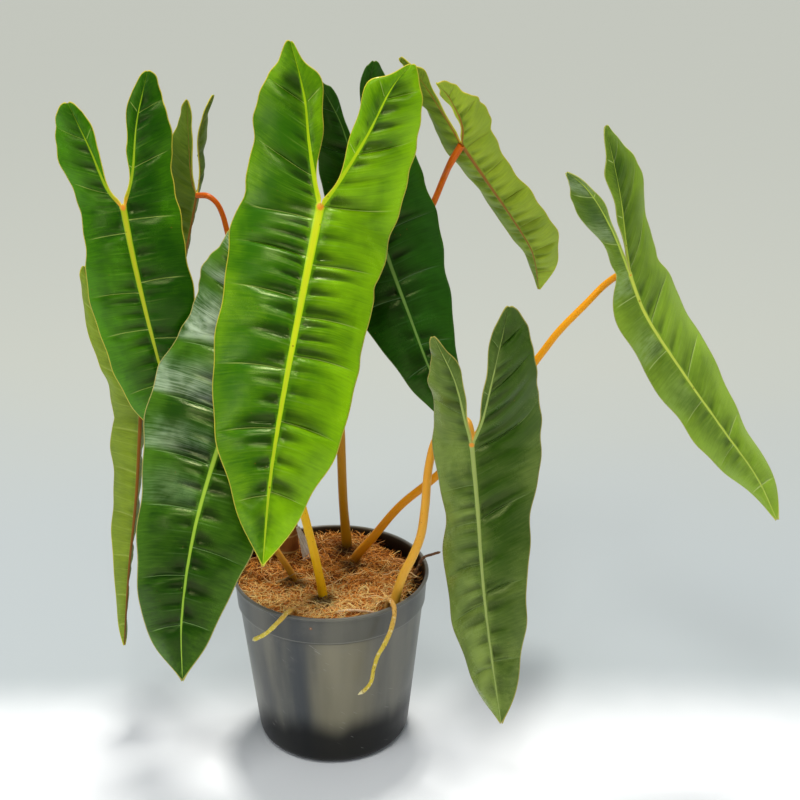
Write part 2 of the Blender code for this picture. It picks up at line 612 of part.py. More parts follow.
def pot():
    band_foot = POT_HEIGHT - BAND_HEIGHT
    slope = (RIM_RADIUS - BAND_STEP - BASE_RADIUS - 2.5 * MM) / band_foot
    under_band = BASE_RADIUS + slope * band_foot
    outside = [(0.0, 0.0), (BASE_RADIUS - BASE_ROUND, 0.0)]
    for i in range(1, 4):
        angle = i * math.pi / 6
        outside.append((BASE_RADIUS - BASE_ROUND + BASE_ROUND * math.sin(angle), BASE_ROUND * (1 - math.cos(angle))))
    outside += [(under_band, band_foot - 1.5 * MM), (RIM_RADIUS - 3.4 * MM, band_foot),
                (RIM_RADIUS - 1.6 * MM, POT_HEIGHT - 4 * MM), (RIM_RADIUS, POT_HEIGHT - 3 * MM),
                (RIM_RADIUS, POT_HEIGHT - 0.8 * MM), (RIM_RADIUS - 0.8 * MM, POT_HEIGHT)]
    inside = [(RIM_RADIUS - 3.0 * MM, POT_HEIGHT), (RIM_RADIUS - 3.6 * MM, POT_HEIGHT - 2 * MM),
              (RIM_RADIUS - 3.4 * MM - WALL, band_foot + 2 * MM), (under_band - WALL, band_foot - 3 * MM),
              (BASE_RADIUS - WALL, BASE_ROUND), (BASE_RADIUS - BASE_ROUND - WALL, FLOOR), (0.0, FLOOR)]
    body = spun("pot", outside + inside, POT_SEGMENTS, (0.055, 0.06, 0.066, 1.0), 0.38)
    cutters = []
    for i in range(DRAIN_HOLES):
        angle = 2 * math.pi * (i + 0.5) / DRAIN_HOLES
        x = DRAIN_CIRCLE * math.cos(angle)
        y = DRAIN_CIRCLE * math.sin(angle)
        path = np.array([(x, y, -4 * MM), (x, y, 0.0), (x, y, 4 * MM), (x, y, 7 * MM)])
        cutters.append(tube("drain_%d" % i, path, (DRAIN_RADIUS, DRAIN_RADIUS), 4 * MM, 12, (0, 0, 0, 1)))
    cut(body, cutters)
    return body


def spun(name, profile, segments, color, roughness):
    """Solid of revolution about the upright axis from a closed profile that starts and ends on it."""
    verts = []
    rings = []
    for radius, height in profile:
        if radius == 0:
            rings.append([len(verts)])
            verts.append((0.0, 0.0, height))
            continue
        ring = []
        for j in range(segments):
            angle = 2 * math.pi * j / segments
            ring.append(len(verts))
            verts.append((radius * math.cos(angle), radius * math.sin(angle), height))
        rings.append(ring)
    faces = []
    for low, high in zip(rings[:-1], rings[1:]):
        for j in range(segments):
            k = (j + 1) % segments
            if len(low) == 1:
                faces.append((low[0], high[j], high[k]))
            elif len(high) == 1:
                faces.append((low[j], low[k], high[0]))
            else:
                faces.append((low[j], low[k], high[k], high[j]))
    return new_object(name, verts, faces, color, roughness)


def fill_height(x, y):
    """Lumpy top of the coconut fibre, lower beside the right wall."""
    radius = math.hypot(x, y) / (RIM_RADIUS - 6 * MM)
    angle = math.atan2(y, x)
    lumps = (math.sin(x * 190 + 1.3) * math.cos(y * 170 - 0.4) + 0.6 * math.sin(x * 410 + y * 350)
             + 0.5 * math.cos(x * 620 - y * 540 + 2))
    right = max(0.0, math.cos(angle + 0.1)) ** 3 * max(0.0, radius - 0.62) / 0.38
    back = max(0.0, math.sin(angle)) * radius * radius
    return FILL_HEIGHT + LUMP * lumps * (1 - 0.3 * radius) - 15 * MM * right + 2 * MM * back - 1.5 * MM * radius ** 6


def filling(cutters):
    band_foot = POT_HEIGHT - BAND_HEIGHT
    slope = (RIM_RADIUS - BAND_STEP - BASE_RADIUS - 2.5 * MM) / band_foot
    under_band = BASE_RADIUS + slope * band_foot
    clear = GAP + 0.15 * MM
    foot_radius = BASE_RADIUS - BASE_ROUND - WALL - clear - 2 * MM
    low = (BASE_RADIUS - WALL - clear - 0.4 * MM, BASE_ROUND + 1 * MM)
    top_radius = under_band - WALL - clear - 0.6 * MM
    sides = [(0.0, FLOOR + GAP), (foot_radius, FLOOR + GAP), low, (top_radius, band_foot - 4 * MM)]
    verts = []
    rings = []
    for radius, height in sides:
        if radius == 0:
            rings.append([0])
            verts.append((0.0, 0.0, height))
            continue
        ring = []
        for j in range(FILL_SECTORS):
            angle = 2 * math.pi * j / FILL_SECTORS
            ring.append(len(verts))
            verts.append((radius * math.cos(angle), radius * math.sin(angle), height))
        rings.append(ring)
    for i in range(FILL_RINGS, 0, -1):
        radius = (RIM_RADIUS - 3.4 * MM - WALL - 1.2 * MM) * i / FILL_RINGS
        ring = []
        for j in range(FILL_SECTORS):
            angle = 2 * math.pi * j / FILL_SECTORS
            x = radius * math.cos(angle)
            y = radius * math.sin(angle)
            ring.append(len(verts))
            verts.append((x, y, fill_height(x, y)))
        rings.append(ring)
    rings.append([len(verts)])
    verts.append((0.0, 0.0, fill_height(0.0, 0.0)))
    faces = []
    for low_ring, high_ring in zip(rings[:-1], rings[1:]):
        for j in range(FILL_SECTORS):
            k = (j + 1) % FILL_SECTORS
            if len(low_ring) == 1:
                faces.append((low_ring[0], high_ring[j], high_ring[k]))
            elif len(high_ring) == 1:
                faces.append((low_ring[j], low_ring[k], high_ring[0]))
            else:
                faces.append((low_ring[j], low_ring[k], high_ring[k]))
                faces.append((low_ring[j], high_ring[k], high_ring[j]))
    body = new_object("coir", verts, faces, (0.3, 0.15, 0.06, 1.0), 0.95, smooth=False)
    cut(body, cutters)
    return body


def papery_sheath(grow=0.0, name="cataphyll"):
    """Dry leaf sheath: a thin curved strip wrapped part way round the stem side."""
    path = smooth_line(np.array(CATAPHYLL_PATH, float) * MM, np.linspace(0, 1, 8))
    path[0] += grow * unit(path[0] - path[1])
    path[-1] += grow * unit(path[-1] - path[-2])
    half = CATAPHYLL_THICK / 2 + grow
    verts = []
    columns = 5
    for side in (1, -1):
        for i, centre in enumerate(path):
            width = smooth_value(CATAPHYLL_WIDTHS, i / 7) * MM + grow
            for j in range(columns):
                s = 2 * j / (columns - 1) - 1
                away = unit((0.86, -0.5, 0.0))
                across = unit((0.5, 0.86, 0.0))
                bow = 0.25 * width * (1 - s * s)
                verts.append(centre + across * (s * width) + away * (bow + side * half))
    count = len(path) * columns
    faces = []
    for i in range(len(path) - 1):
        for j in range(columns - 1):
            a = i * columns + j
            b = a + columns
            faces.append((a, a + 1, b + 1, b))
            faces.append((a + count, b + count, b + 1 + count, a + 1 + count))
    border = [j for j in range(columns)]
    border += [i * columns + columns - 1 for i in range(1, len(path))]
    border += [(len(path) - 1) * columns + j for j in range(columns - 2, -1, -1)]
    border += [i * columns for i in range(len(path) - 2, 0, -1)]
    for a, b in zip(border, border[1:] + border[:1]):
        faces.append((b, a, a + count, b + count))
    return new_object(name, verts, faces, (0.62, 0.58, 0.5, 1.0), 0.8)


def build():
    for obj in list(bpy.data.objects):
        bpy.data.objects.remove(obj, do_unlink=True)
    pot()
    holes = []
    sockets = []
    clear = GAP + 0.15 * MM
    for key, spec in LEAVES.items():
        blade = leaf_blade(key, spec)
        line = stalk_line(spec, blade)
        radii = [r * MM for r in spec["stalk_radius"]]
        tube("petiole_" + key, line, radii, STALK_STEP, STALK_SIDES, (0.62, 0.26, 0.05, 1.0))
        cutter = tube("hole_" + key, line, radii, STALK_STEP, STALK_SIDES, (0, 0, 0, 1), grow=clear)
        (sockets if spec["stalk"][0][2] > 200 else holes).append(cutter)
    for name, root in ROOTS.items():
        path = np.array(root["path"], float) * MM
        radii = [r * MM for r in root["radius"]]
        tube(name, path, radii, ROOT_STEP, ROOT_SIDES, root["color"], 0.7)
        holes.append(tube(name + "_hole", path, radii, ROOT_STEP, ROOT_SIDES, (0, 0, 0, 1), grow=clear))
    papery_sheath()
    holes.append(papery_sheath(clear, "sheath_hole"))
    foot = np.array(STEM_FOOT, float) * MM
    top = np.array(STEM_TOP, float) * MM
    stem_line = np.array([foot + (top - foot) * t for t in (0, 0.35, 0.7, 1)])
    widths = (STEM_RADIUS, STEM_RADIUS * 1.04, STEM_RADIUS * 0.96, STEM_RADIUS)
    stem = tube("stem", stem_line, widths, 20 * MM, 20, (0.4, 0.2, 0.06, 1.0), 0.6)
    holes.append(tube("stem_hole", stem_line, widths, 20 * MM, 20, (0, 0, 0, 1), grow=clear))
    cut(stem, sockets)
    filling(holes)


build()
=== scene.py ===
import json
import math
import random

import bmesh
import bpy
import numpy as np
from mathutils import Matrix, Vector
from mathutils.bvhtree import BVHTree

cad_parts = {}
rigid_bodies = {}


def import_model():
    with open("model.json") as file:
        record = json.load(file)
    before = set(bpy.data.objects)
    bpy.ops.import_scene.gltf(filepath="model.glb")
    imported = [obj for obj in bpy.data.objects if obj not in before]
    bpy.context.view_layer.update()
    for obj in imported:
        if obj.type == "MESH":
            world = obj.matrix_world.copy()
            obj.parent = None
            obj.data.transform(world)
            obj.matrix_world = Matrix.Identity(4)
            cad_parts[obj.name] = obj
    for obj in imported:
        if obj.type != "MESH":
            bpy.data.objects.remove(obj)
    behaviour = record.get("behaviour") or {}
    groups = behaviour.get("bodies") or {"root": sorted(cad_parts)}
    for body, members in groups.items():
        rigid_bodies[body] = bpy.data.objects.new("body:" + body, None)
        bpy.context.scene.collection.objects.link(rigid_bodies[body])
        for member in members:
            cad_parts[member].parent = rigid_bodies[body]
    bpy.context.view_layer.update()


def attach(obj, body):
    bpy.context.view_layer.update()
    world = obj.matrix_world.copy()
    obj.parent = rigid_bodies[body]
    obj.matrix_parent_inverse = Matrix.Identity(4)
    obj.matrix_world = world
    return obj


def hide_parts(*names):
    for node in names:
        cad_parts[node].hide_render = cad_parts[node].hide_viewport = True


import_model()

mm = 0.001
scene = bpy.context.scene


class Wire:
    # one output of a node; sums and products of wires add Math nodes
    def __init__(self, tree, socket=None):
        self.tree = tree
        self.socket = socket

    def make(self, kind, settings=None, sockets=None, out=0):
        node = self.tree.nodes.new(kind)
        for name, value in (settings or {}).items():
            setattr(node, name, value)
        for key, value in (sockets or {}).items():
            place = pickSocket(node.inputs, key)
            if isinstance(value, Wire):
                self.tree.links.new(value.socket, place)
            else:
                place.default_value = value
        return Wire(self.tree, pickSocket(node.outputs, out))

    def other(self, name):
        return Wire(self.tree, pickSocket(self.socket.node.outputs, name))

    def calc(self, operation, *values):
        return self.make("ShaderNodeMath", {"operation": operation}, dict(enumerate(values)))

    def __add__(self, value):
        return self.calc("ADD", self, value)

    def __radd__(self, value):
        return self.calc("ADD", value, self)

    def __sub__(self, value):
        return self.calc("SUBTRACT", self, value)

    def __rsub__(self, value):
        return self.calc("SUBTRACT", value, self)

    def __mul__(self, value):
        return self.calc("MULTIPLY", self, value)

    def __rmul__(self, value):
        return self.calc("MULTIPLY", value, self)

    def rise(self, low, high):
        # 0 below low, 1 above high, smooth between; low above high turns it round
        if low > high:
            return 1 - self.rise(high, low)
        return self.make("ShaderNodeMapRange", {"interpolation_type": "SMOOTHSTEP"},
                         {"Value": self, "From Min": low, "From Max": high})

    def mix(self, first, second):
        # this wire is the share of the second colour
        return self.make("ShaderNodeMix", {"data_type": "RGBA"},
                         {"Factor": self, "A": first, "B": second}, "Result")

    def shade(self, share):
        # this colour made darker or lighter by a wire
        grey = self.make("ShaderNodeCombineXYZ", {}, {0: share, 1: share, 2: share})
        return self.make("ShaderNodeVectorMath", {"operation": "MULTIPLY"}, {0: self, 1: grey})

    def place(self, x, y, z):
        return self.make("ShaderNodeCombineXYZ", {}, {0: x, 1: y, 2: z})

    def stretch(self, x, y, z):
        return self.make("ShaderNodeVectorMath", {"operation": "MULTIPLY"}, {0: self, 1: (x, y, z)})

    def noise(self, scale, detail=2.0, roughness=0.5, distortion=0.0):
        return self.make("ShaderNodeTexNoise", {}, {"Vector": self, "Scale": scale, "Detail": detail,
                                                    "Roughness": roughness, "Distortion": distortion})

    def cells(self, scale):
        return self.make("ShaderNodeTexVoronoi", {}, {"Vector": self, "Scale": scale}, "Distance")

    def axis(self, name):
        return self.make("ShaderNodeSeparateXYZ", {}, {0: self}, name)

    def distanceTo(self, place):
        return self.make("ShaderNodeVectorMath", {"operation": "DISTANCE"}, {0: self, 1: place}, "Value")

    def absolute(self):
        return self.calc("ABSOLUTE", self)

    def attribute(self, name):
        return self.make("ShaderNodeAttribute", {"attribute_name": name}, {}, "Fac")

    def spot(self):
        return self.make("ShaderNodeTexCoord", {}, {}, "Object")


def pickSocket(sockets, key):
    if isinstance(key, int):
        return sockets[key]
    return next(s for s in sockets if s.name == key and s.enabled)


def paint(red, green, blue):
    # a colour given as on screen, 0 to 255, made linear
    shares = (red / 255, green / 255, blue / 255)
    return (*(c / 12.92 if c <= 0.04045 else ((c + 0.055) / 1.055) ** 2.4 for c in shares), 1.0)


def newFinish(name, constants):
    # a material with its constant numbers set on the shader; the wire starts the node expressions
    material = bpy.data.materials.new(name)
    material.use_nodes = True
    shader = material.node_tree.nodes["Principled BSDF"]
    for socket, value in constants.items():
        shader.inputs[socket].default_value = value
    return material, Wire(material.node_tree), shader


def feed(material, shader, **links):
    sockets = {"color": "Base Color", "roughness": "Roughness", "normal": "Normal", "coat": "Coat Weight"}
    for name, wire in links.items():
        material.node_tree.links.new(wire.socket, shader.inputs[sockets[name]])
    return material


def bumpFrom(wire, height, strength, depth):
    sockets = {"Height": height, "Strength": strength, "Distance": depth}
    return wire.make("ShaderNodeBump", {}, sockets, "Normal")


def growTree(name, inputs):
    # an empty Geometry Nodes tree with named inputs; gives tree, input wires and socket identifiers
    tree = bpy.data.node_groups.new(name, "GeometryNodeTree")
    tree.is_modifier = True
    identifiers = {}
    for label, kind in inputs.items():
        made = tree.interface.new_socket(label, in_out="INPUT", socket_type="NodeSocket" + kind)
        identifiers[label] = made.identifier
    tree.interface.new_socket("Geometry", in_out="OUTPUT", socket_type="NodeSocketGeometry")
    start = Wire(tree).make("NodeGroupInput")
    return tree, start, identifiers


def closeTree(tree, geometry, start):
    solid = start.make("GeometryNodeRealizeInstances", {}, {"Geometry": geometry})
    finish = {"Geometry": solid, "Material": start.other("Material")}
    done = start.make("GeometryNodeSetMaterial", {}, finish)
    end = tree.nodes.new("NodeGroupOutput")
    tree.links.new(done.socket, end.inputs[0])


def grown(obj, tree, identifiers, values):
    # run the tree once on the object and keep its result as a plain mesh
    modifier = obj.modifiers.new(tree.name, "NODES")
    modifier.node_group = tree
    for label, value in values.items():
        modifier[identifiers[label]] = value
    bpy.context.view_layer.update()
    finished = obj.evaluated_get(bpy.context.evaluated_depsgraph_get())
    mesh = bpy.data.meshes.new_from_object(finished)
    obj.modifiers.remove(modifier)
    obj.data = mesh
    mesh.name = obj.name


def newPiece(name, points, faces, edges=(), attributes=None, material=None, smooth=True):
    mesh = bpy.data.meshes.new(name)
    mesh.from_pydata(np.asarray(points, float).tolist(), list(edges), faces)
    for label, values in (attributes or {}).items():
        made = mesh.attributes.new(label, "FLOAT", "POINT")
        made.data.foreach_set("value", np.asarray(values, np.float32))
    if material:
        mesh.materials.append(material)
    mesh.polygons.foreach_set("use_smooth", [smooth] * len(mesh.polygons))
    piece = bpy.data.objects.new(name, mesh)
    scene.collection.objects.link(piece)
    return piece


def faceOutward(piece):
    work = bmesh.new()
    work.from_mesh(piece.data)
    bmesh.ops.recalc_face_normals(work, faces=work.faces)
    work.to_mesh(piece.data)
    work.free()


def mount(piece, slot, *nodes):
    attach(piece, "root")
    if nodes:
        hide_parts(*nodes)


def unit(vectors):
    vectors = np.asarray(vectors, float)
    return vectors / np.maximum(np.linalg.norm(vectors, axis=-1, keepdims=True), 1e-12)


def runAlong(points):
    # length of a line up to each of its points
    return np.concatenate([[0], np.cumsum(np.linalg.norm(np.diff(points, axis=0), axis=1))])


def roundLine(points, places):
    # round line through the points, read at places from 0 to 1 by length
    knots = np.asarray(points, float)
    ends = np.vstack([2 * knots[0] - knots[1], knots, 2 * knots[-1] - knots[-2]])
    fine = []
    for i in range(len(knots) - 1):
        a, b, c, d = ends[i:i + 4]
        k1 = math.sqrt(np.linalg.norm(b - a))
        k2 = k1 + math.sqrt(np.linalg.norm(c - b))
        k3 = k2 + math.sqrt(np.linalg.norm(d - c))
        t = np.linspace(k1, k2, 30, endpoint=False)[:, None]
        ab = ((k1 - t) * a + t * b) / k1
        bc = ((k2 - t) * b + (t - k1) * c) / (k2 - k1)
        cd = ((k3 - t) * c + (t - k2) * d) / (k3 - k2)
        first = ((k2 - t) * ab + t * bc) / k2
        second = ((k3 - t) * bc + (t - k1) * cd) / (k3 - k1)
        fine.append(((k2 - t) * first + (t - k1) * second) / (k2 - k1))
    fine = np.vstack(fine + [knots[-1:]])
    run = runAlong(fine)
    at = np.asarray(places) * run[-1]
    return np.stack([np.interp(at, run, fine[:, i]) for i in range(3)], -1)


def roundValue(values, at):
    # round curve through evenly spaced values, read between 0 and 1
    values = np.asarray(values, float)
    last = len(values) - 1
    x = np.clip(np.asarray(at, float), 0, 1) * last
    i = np.minimum(x.astype(int), last - 1)
    f = x - i
    ends = np.concatenate([[2 * values[0] - values[1]], values, [2 * values[-1] - values[-2]]])
    a, b, c, d = ends[i], ends[i + 1], ends[i + 2], ends[i + 3]
    return b + 0.5 * f * (c - a + f * (2 * a - 5 * b + 4 * c - d + f * (3 * (b - c) + d - a)))


def straightValue(values, at):
    return np.interp(at, np.linspace(0, 1, len(values)), values)


def ease(x, low=0.0, high=1.0):
    x = np.clip((np.asarray(x, float) - low) / (high - low), 0, 1)
    return x * x * (3 - 2 * x)


def chance(index, seed):
    # a fixed random share for a whole number
    return np.modf(np.abs(np.sin(np.asarray(index, float) * 12.9898 + seed * 78.233)) * 43758.5453)[0]


# rib points, face directions and half widths of each leaf in millimetres,
# left and right as seen from the front
leafForms = {
    "1": {
        "midrib": [(-4, 20, 527), (-19, -28, 456), (-34, -77, 381), (-44, -108, 320), (-51, -130, 249)],
        "leftRib": [(-9, 30, 549), (-14, 42, 582), (-18, 54, 620), (-29, 60, 665)],
        "rightRib": [(14, 28, 550), (39, 38, 589), (60, 44, 628), (76, 46, 647)],
        "leftFace": [(0.1, -1, 0.1), (-0.05, -0.95, 0.35), (-0.2, -0.9, 0.35)],
        "rightFace": [(0.1, -1, 0.1), (0.3, -0.95, 0.35), (0.3, -0.9, 0.35)],
        "left": [78, 76, 73, 70, 66, 56, 40, 26, 5],
        "right": [72, 67, 64, 64, 62, 57, 43, 28, 5],
        "leftLobe": [78, 58, 54, 45, 27, 16],
        "rightLobe": [72, 60, 52, 44, 33, 18],
        "leftInner": [3, 3, 15, 23, 15, 9],
        "rightInner": [3, 2, 14, 27, 18, 8],
        "innerShare": 0.44,
        "stalk": [(13, 62, 133), (13, 60, 165), (10, 58, 220), (9, 54, 292), (8, 48, 373), (5, 42, 444),
                  (1, 38, 497)],
        "stalkRadius": (4.8, 3.6),
        "wave": 5,
    },
    "2": {
        "midrib": [(-181, 30, 524), (-173, 16, 484), (-162, 8, 425), (-155, 10, 383), (-144, 20, 302)],
        "leftRib": [(-194, 36, 537), (-210, 44, 575), (-227, 50, 613)],
        "rightRib": [(-174, 40, 547), (-168, 55, 598), (-157, 62, 639)],
        "leftFace": [(-0.25, -1, 0.1), (-0.25, -0.9, 0.3), (-0.1, -0.9, 0.3)],
        "rightFace": [(0, -1, 0.1), (0.1, -0.95, 0.35), (0.1, -0.9, 0.35)],
        "left": [43, 45, 52, 52, 49, 46, 43, 31, 5],
        "right": [50, 48, 47, 46, 43, 37, 28, 18, 4],
        "leftLobe": [43, 34, 36, 35, 27, 14],
        "rightLobe": [50, 37, 37, 32, 22, 12],
        "leftInner": [3, 2, 6, 17, 18, 9],
        "rightInner": [3, 2, 9, 15, 17, 9],
        "stalk": [(-53, 51, 212), (-57, 53, 244), (-72, 63, 276), (-104, 72, 312), (-130, 68, 368),
                  (-154, 60, 430), (-172, 50, 489)],
        "stalkRadius": (3.2, 2.9),
        "wave": 4,
    },
    "3": {
        "midrib": [(-67, -14, 419), (-84, -50, 359), (-101, -88, 309), (-113, -113, 265),
                   (-123, -135, 199), (-124, -146, 144)],
        "leftRib": [(-71, 0, 438), (-77, 14, 466), (-84, 26, 503)],
        "rightRib": [(-57, 0, 438), (-45, 10, 463), (-34, 20, 488)],
        "leftFace": [(-0.1, -1, 0.2), (-0.12, -0.95, 0.3), (-0.3, -0.9, 0.25)],
        "rightFace": [(-0.1, -1, 0.3), (0.1, -0.95, 0.35), (0.25, -0.9, 0.35)],
        "left": [67, 76, 75, 66, 57, 50, 45, 33, 5],
        "right": [49, 54, 56, 57, 56, 50, 39, 26, 5],
        "leftLobe": [67, 51, 46, 34, 19, 12],
        "rightLobe": [49, 42, 38, 30, 21, 12],
        "leftInner": [3, 2, 10, 18, 15, 8],
        "rightInner": [3, 2, 7, 13, 12, 7],
        "stalk": [(-4, -38, 131), (-6, -38, 165), (-12, -38, 204), (-21, -36, 247), (-32, -30, 293),
                  (-46, -16, 347), (-59, 0, 385)],
        "stalkRadius": (4.4, 3.4),
        "wave": 5,
    },
    "4": {
        "midrib": [(-127, 108, 518), (-137, 116, 480), (-157, 128, 408), (-189, 134, 303)],
        "leftRib": [(-131, 110, 532), (-133, 118, 568), (-133, 124, 605)],
        "rightRib": [(-125, 119, 535), (-126, 136, 568), (-113, 150, 606)],
        "leftFace": [(-0.35, -0.9, 0.2), (-0.4, -0.9, 0.1), (-0.5, -0.85, 0.1)],
        "rightFace": [(0.75, -0.4, 0.05), (0.95, 0.15, -0.1), (0.95, 0.2, -0.1)],
        "left": [45, 47, 50, 53, 52, 49, 42, 25, 4],
        "right": [45, 47, 50, 53, 52, 49, 42, 25, 4],
        "leftLobe": [45, 34, 25, 18, 13, 8],
        "rightLobe": [45, 34, 25, 18, 13, 8],
        "leftInner": [3, 2, 4, 8, 7, 5],
        "rightInner": [3, 2, 4, 8, 7, 5],
        "stalk": [(-53, 61, 212), (-56, 69, 248), (-63, 87, 330), (-82, 95, 420), (-97, 96, 481),
                  (-102, 98, 502), (-107, 98, 513), (-115, 100, 519)],
        "jointSide": (0.83, -0.55, 0),
        "stalkRadius": (3.2, 2.5),
        "under": True,
        "wave": 4,
    },
    "5": {
        "midrib": [(-182, 40, 322), (-188, 18, 244), (-199, 5, 166), (-208, -2, 89)],
        "leftRib": [(-197, 50, 346), (-218, 66, 392), (-233, 78, 456)],
        "rightRib": [(-180, 56, 342), (-190, 74, 366), (-205, 92, 382)],
        "leftFace": [(-0.6, -0.8, 0.2), (-0.62, -0.78, 0.1), (-0.4, -0.9, 0.1)],
        "rightFace": [(0.9, -0.3, 0.3), (1, 0.15, 0.05), (1, 0.2, 0.05)],
        "left": [42, 42, 35, 32, 26, 20, 16, 13, 4],
        "right": [40, 46, 48, 46, 42, 36, 28, 18, 4],
        "leftLobe": [42, 28, 22, 24, 20, 12],
        "rightLobe": [40, 30, 24, 20, 15, 8],
        "leftInner": [3, 3, 14, 24, 22, 12],
        "rightInner": [3, 2, 4, 7, 8, 5],
        "stalk": [(-33, -8, 131), (-36, -6, 165), (-51, -4, 194), (-84, 24, 234), (-124, 46, 278),
                  (-150, 54, 304), (-166, 47, 319)],
        "jointSide": (1, -0.2, 0),
        "stalkRadius": (3.4, 2.6),
        "under": True,
        "wave": 4,
    },
    "6": {
        "midrib": [(35, 98, 525), (55, 82, 465), (75, 65, 414), (97, 48, 359), (127, 36, 297)],
        "leftRib": [(22, 98, 558), (11, 92, 592), (-6, 80, 628)],
        "rightRib": [(35, 104, 562), (36, 108, 608), (43, 108, 642)],
        "leftFace": [(-0.2, -1, 0.3), (-0.1, -0.9, 0.5), (-0.2, -0.9, 0.5)],
        "rightFace": [(0.2, -1, 0.3), (0.3, -0.9, 0.5), (0.3, -0.9, 0.5)],
        "left": [39, 38, 42, 45, 41, 31, 23, 13, 4],
        "right": [60, 63, 60, 51, 44, 36, 28, 17, 4],
        "leftLobe": [39, 36, 31, 26, 20, 12],
        "rightLobe": [60, 49, 42, 34, 23, 12],
        "leftInner": [3, 2, 9, 12, 16, 9],
        "rightInner": [3, 2, 14, 20, 20, 11],
        "stalk": [(-43, 51, 212), (-40, 55, 248), (-16, 78, 330), (6, 100, 420), (20, 112, 480),
                  (30, 114, 510)],
        "stalkRadius": (3.2, 2.9),
        "wave": 4,
    },
    "7": {
        "midrib": [(124, 90, 570), (154, 130, 523), (183, 170, 477), (206, 206, 435), (219, 250, 383)],
        "leftRib": [(106, 84, 600), (86, 72, 631), (68, 60, 652)],
        "rightRib": [(124, 76, 588), (112, 52, 616), (99, 30, 634)],
        "leftFace": [(0.1, -0.6, -0.8), (-0.3, -0.75, -0.6), (-0.3, -0.75, -0.6)],
        "rightFace": [(0.1, -0.6, -0.8), (0.1, -0.75, -0.6), (0.1, -0.75, -0.6)],
        "fold": 18,
        "left": [27, 25, 26, 24, 21, 19, 16, 10, 4],
        "right": [32, 27, 27, 29, 31, 33, 32, 25, 5],
        "leftLobe": [27, 24, 21, 17, 12, 8],
        "rightLobe": [32, 29, 24, 17, 13, 9],
        "leftInner": [3, 2, 3, 9, 9, 5],
        "rightInner": [3, 2, 3, 6, 7, 5],
        "stalk": [(-43, 61, 212), (-38, 71, 262), (6, 114, 340), (62, 127, 430), (99, 125, 506),
                  (109, 114, 534), (115, 94, 553)],
        "stalkRadius": (3.2, 3.1),
        "under": True,
        "wave": 4,
    },
    "8": {
        "midrib": [(129, -88, 344), (134, -102, 294), (140, -121, 222), (148, -138, 159),
                   (157, -148, 101)],
        "leftRib": [(124, -90, 362), (113, -96, 406), (95, -100, 446)],
        "rightRib": [(136, -90, 362), (143, -100, 402), (155, -110, 475)],
        "leftFace": [(-0.15, -1, 0.2), (-0.25, -1, 0.2), (-0.35, -0.95, 0.2)],
        "rightFace": [(0.15, -1, 0.2), (0.15, -1, 0.2), (0.2, -0.95, 0.2)],
        "fold": (30, 0),
        "left": [46, 44, 42, 50, 46, 45, 40, 31, 5],
        "right": [62, 57, 48, 44, 39, 36, 28, 20, 5],
        "leftLobe": [46, 36, 33, 26, 18, 10],
        "rightLobe": [62, 50, 43, 36, 27, 14],
        "leftInner": [3, 2, 6, 10, 9, 5],
        "rightInner": [3, 3, 12, 11, 15, 9],
        "stalk": [(60, -47, 131), (62, -47, 164), (70, -46, 193), (78, -45, 210), (86, -44, 232),
                  (90, -43, 262), (93, -40, 300), (100, -38, 328), (114, -46, 346), (126, -60, 354)],
        "stalkRadius": (4.6, 3.4),
        "wave": 4,
    },
    "9": {
        "midrib": [(269, -16, 475), (283, -24, 442), (318, -36, 391), (356, -44, 340), (391, -48, 293),
                   (412, -50, 253)],
        "leftRib": [(247, -34, 521), (222, -54, 559), (204, -62, 575)],
        "rightRib": [(265, -12, 498), (258, -2, 543), (243, 4, 601)],
        "leftFace": [(-0.2, -1, 0.2), (-0.1, -0.8, 0.6), (-0.3, -0.8, 0.55)],
        "rightFace": [(0.3, -1, 0.2), (0.35, -0.85, 0.5), (0.3, -0.8, 0.55)],
        "fold": (40, 15),
        "left": [20, 29, 30, 35, 31, 31, 29, 17, 4],
        "right": [44, 54, 52, 46, 37, 30, 27, 22, 5],
        "leftLobe": [20, 14, 24, 27, 19, 10],
        "rightLobe": [44, 35, 37, 32, 21, 10],
        "leftInner": [3, 2, 3, 6, 6, 4],
        "rightInner": [3, 2, 9, 13, 10, 6],
        "stalk": [(17, 28, 131), (20, 28, 165), (42, 26, 197), (67, 24, 230), (104, 20, 266),
                  (152, 14, 325), (196, 8, 392), (212, 8, 415), (236, 12, 440), (252, 16, 456),
                  (263, 10, 467)],
        "stalkRadius": (4.4, 3.0),
        "wave": 4,
    },
}

# how a blade is meshed and how its surface swells between the veins
bladeForm = {
    "halfThick": 0.42,
    "ribHalf": 4.1,  # the flat yellow midrib at the joint
    "ribDrop": 1.9,  # how far the midrib stands out beneath
    "flatRidge": 0.22,  # share of that by which it stands out on the upper side
    "knob": 1.1,  # small swelling over the stalk
    "knobWidth": 3.2,
    "puff": 0.045,
    "droop": 0.0008,
    "wave": 2.0,
    "bladeColumns": 126,
    "lobeColumns": 44,
    "rows": 22,
    "innerRows": 7,
    "crease": 2.2,
    "creaseWidth": 2.4,
    "step": 3.4,
    "pit": 3.6,
    "swell": 1.2,
    "turnLength": 42,
    "innerShare": 0.26,  # of the space between the lobes that the inner side of one may take
    "bladeSweep": (0, 4, 6, 8, 12, 20, 42),
    "lobeSweep": (0, 25, 35, 45, 62),
    "ribRows": (0.3, 0.6, 0.8, 1.0),  # of the coloured rib's width
    # degrees that the veins lean to the joint, from the lobe tip to the blade tip
    "lean": (0, 0, -4, -12, -18, -14, -9, -7, 0, 0, 0),
}

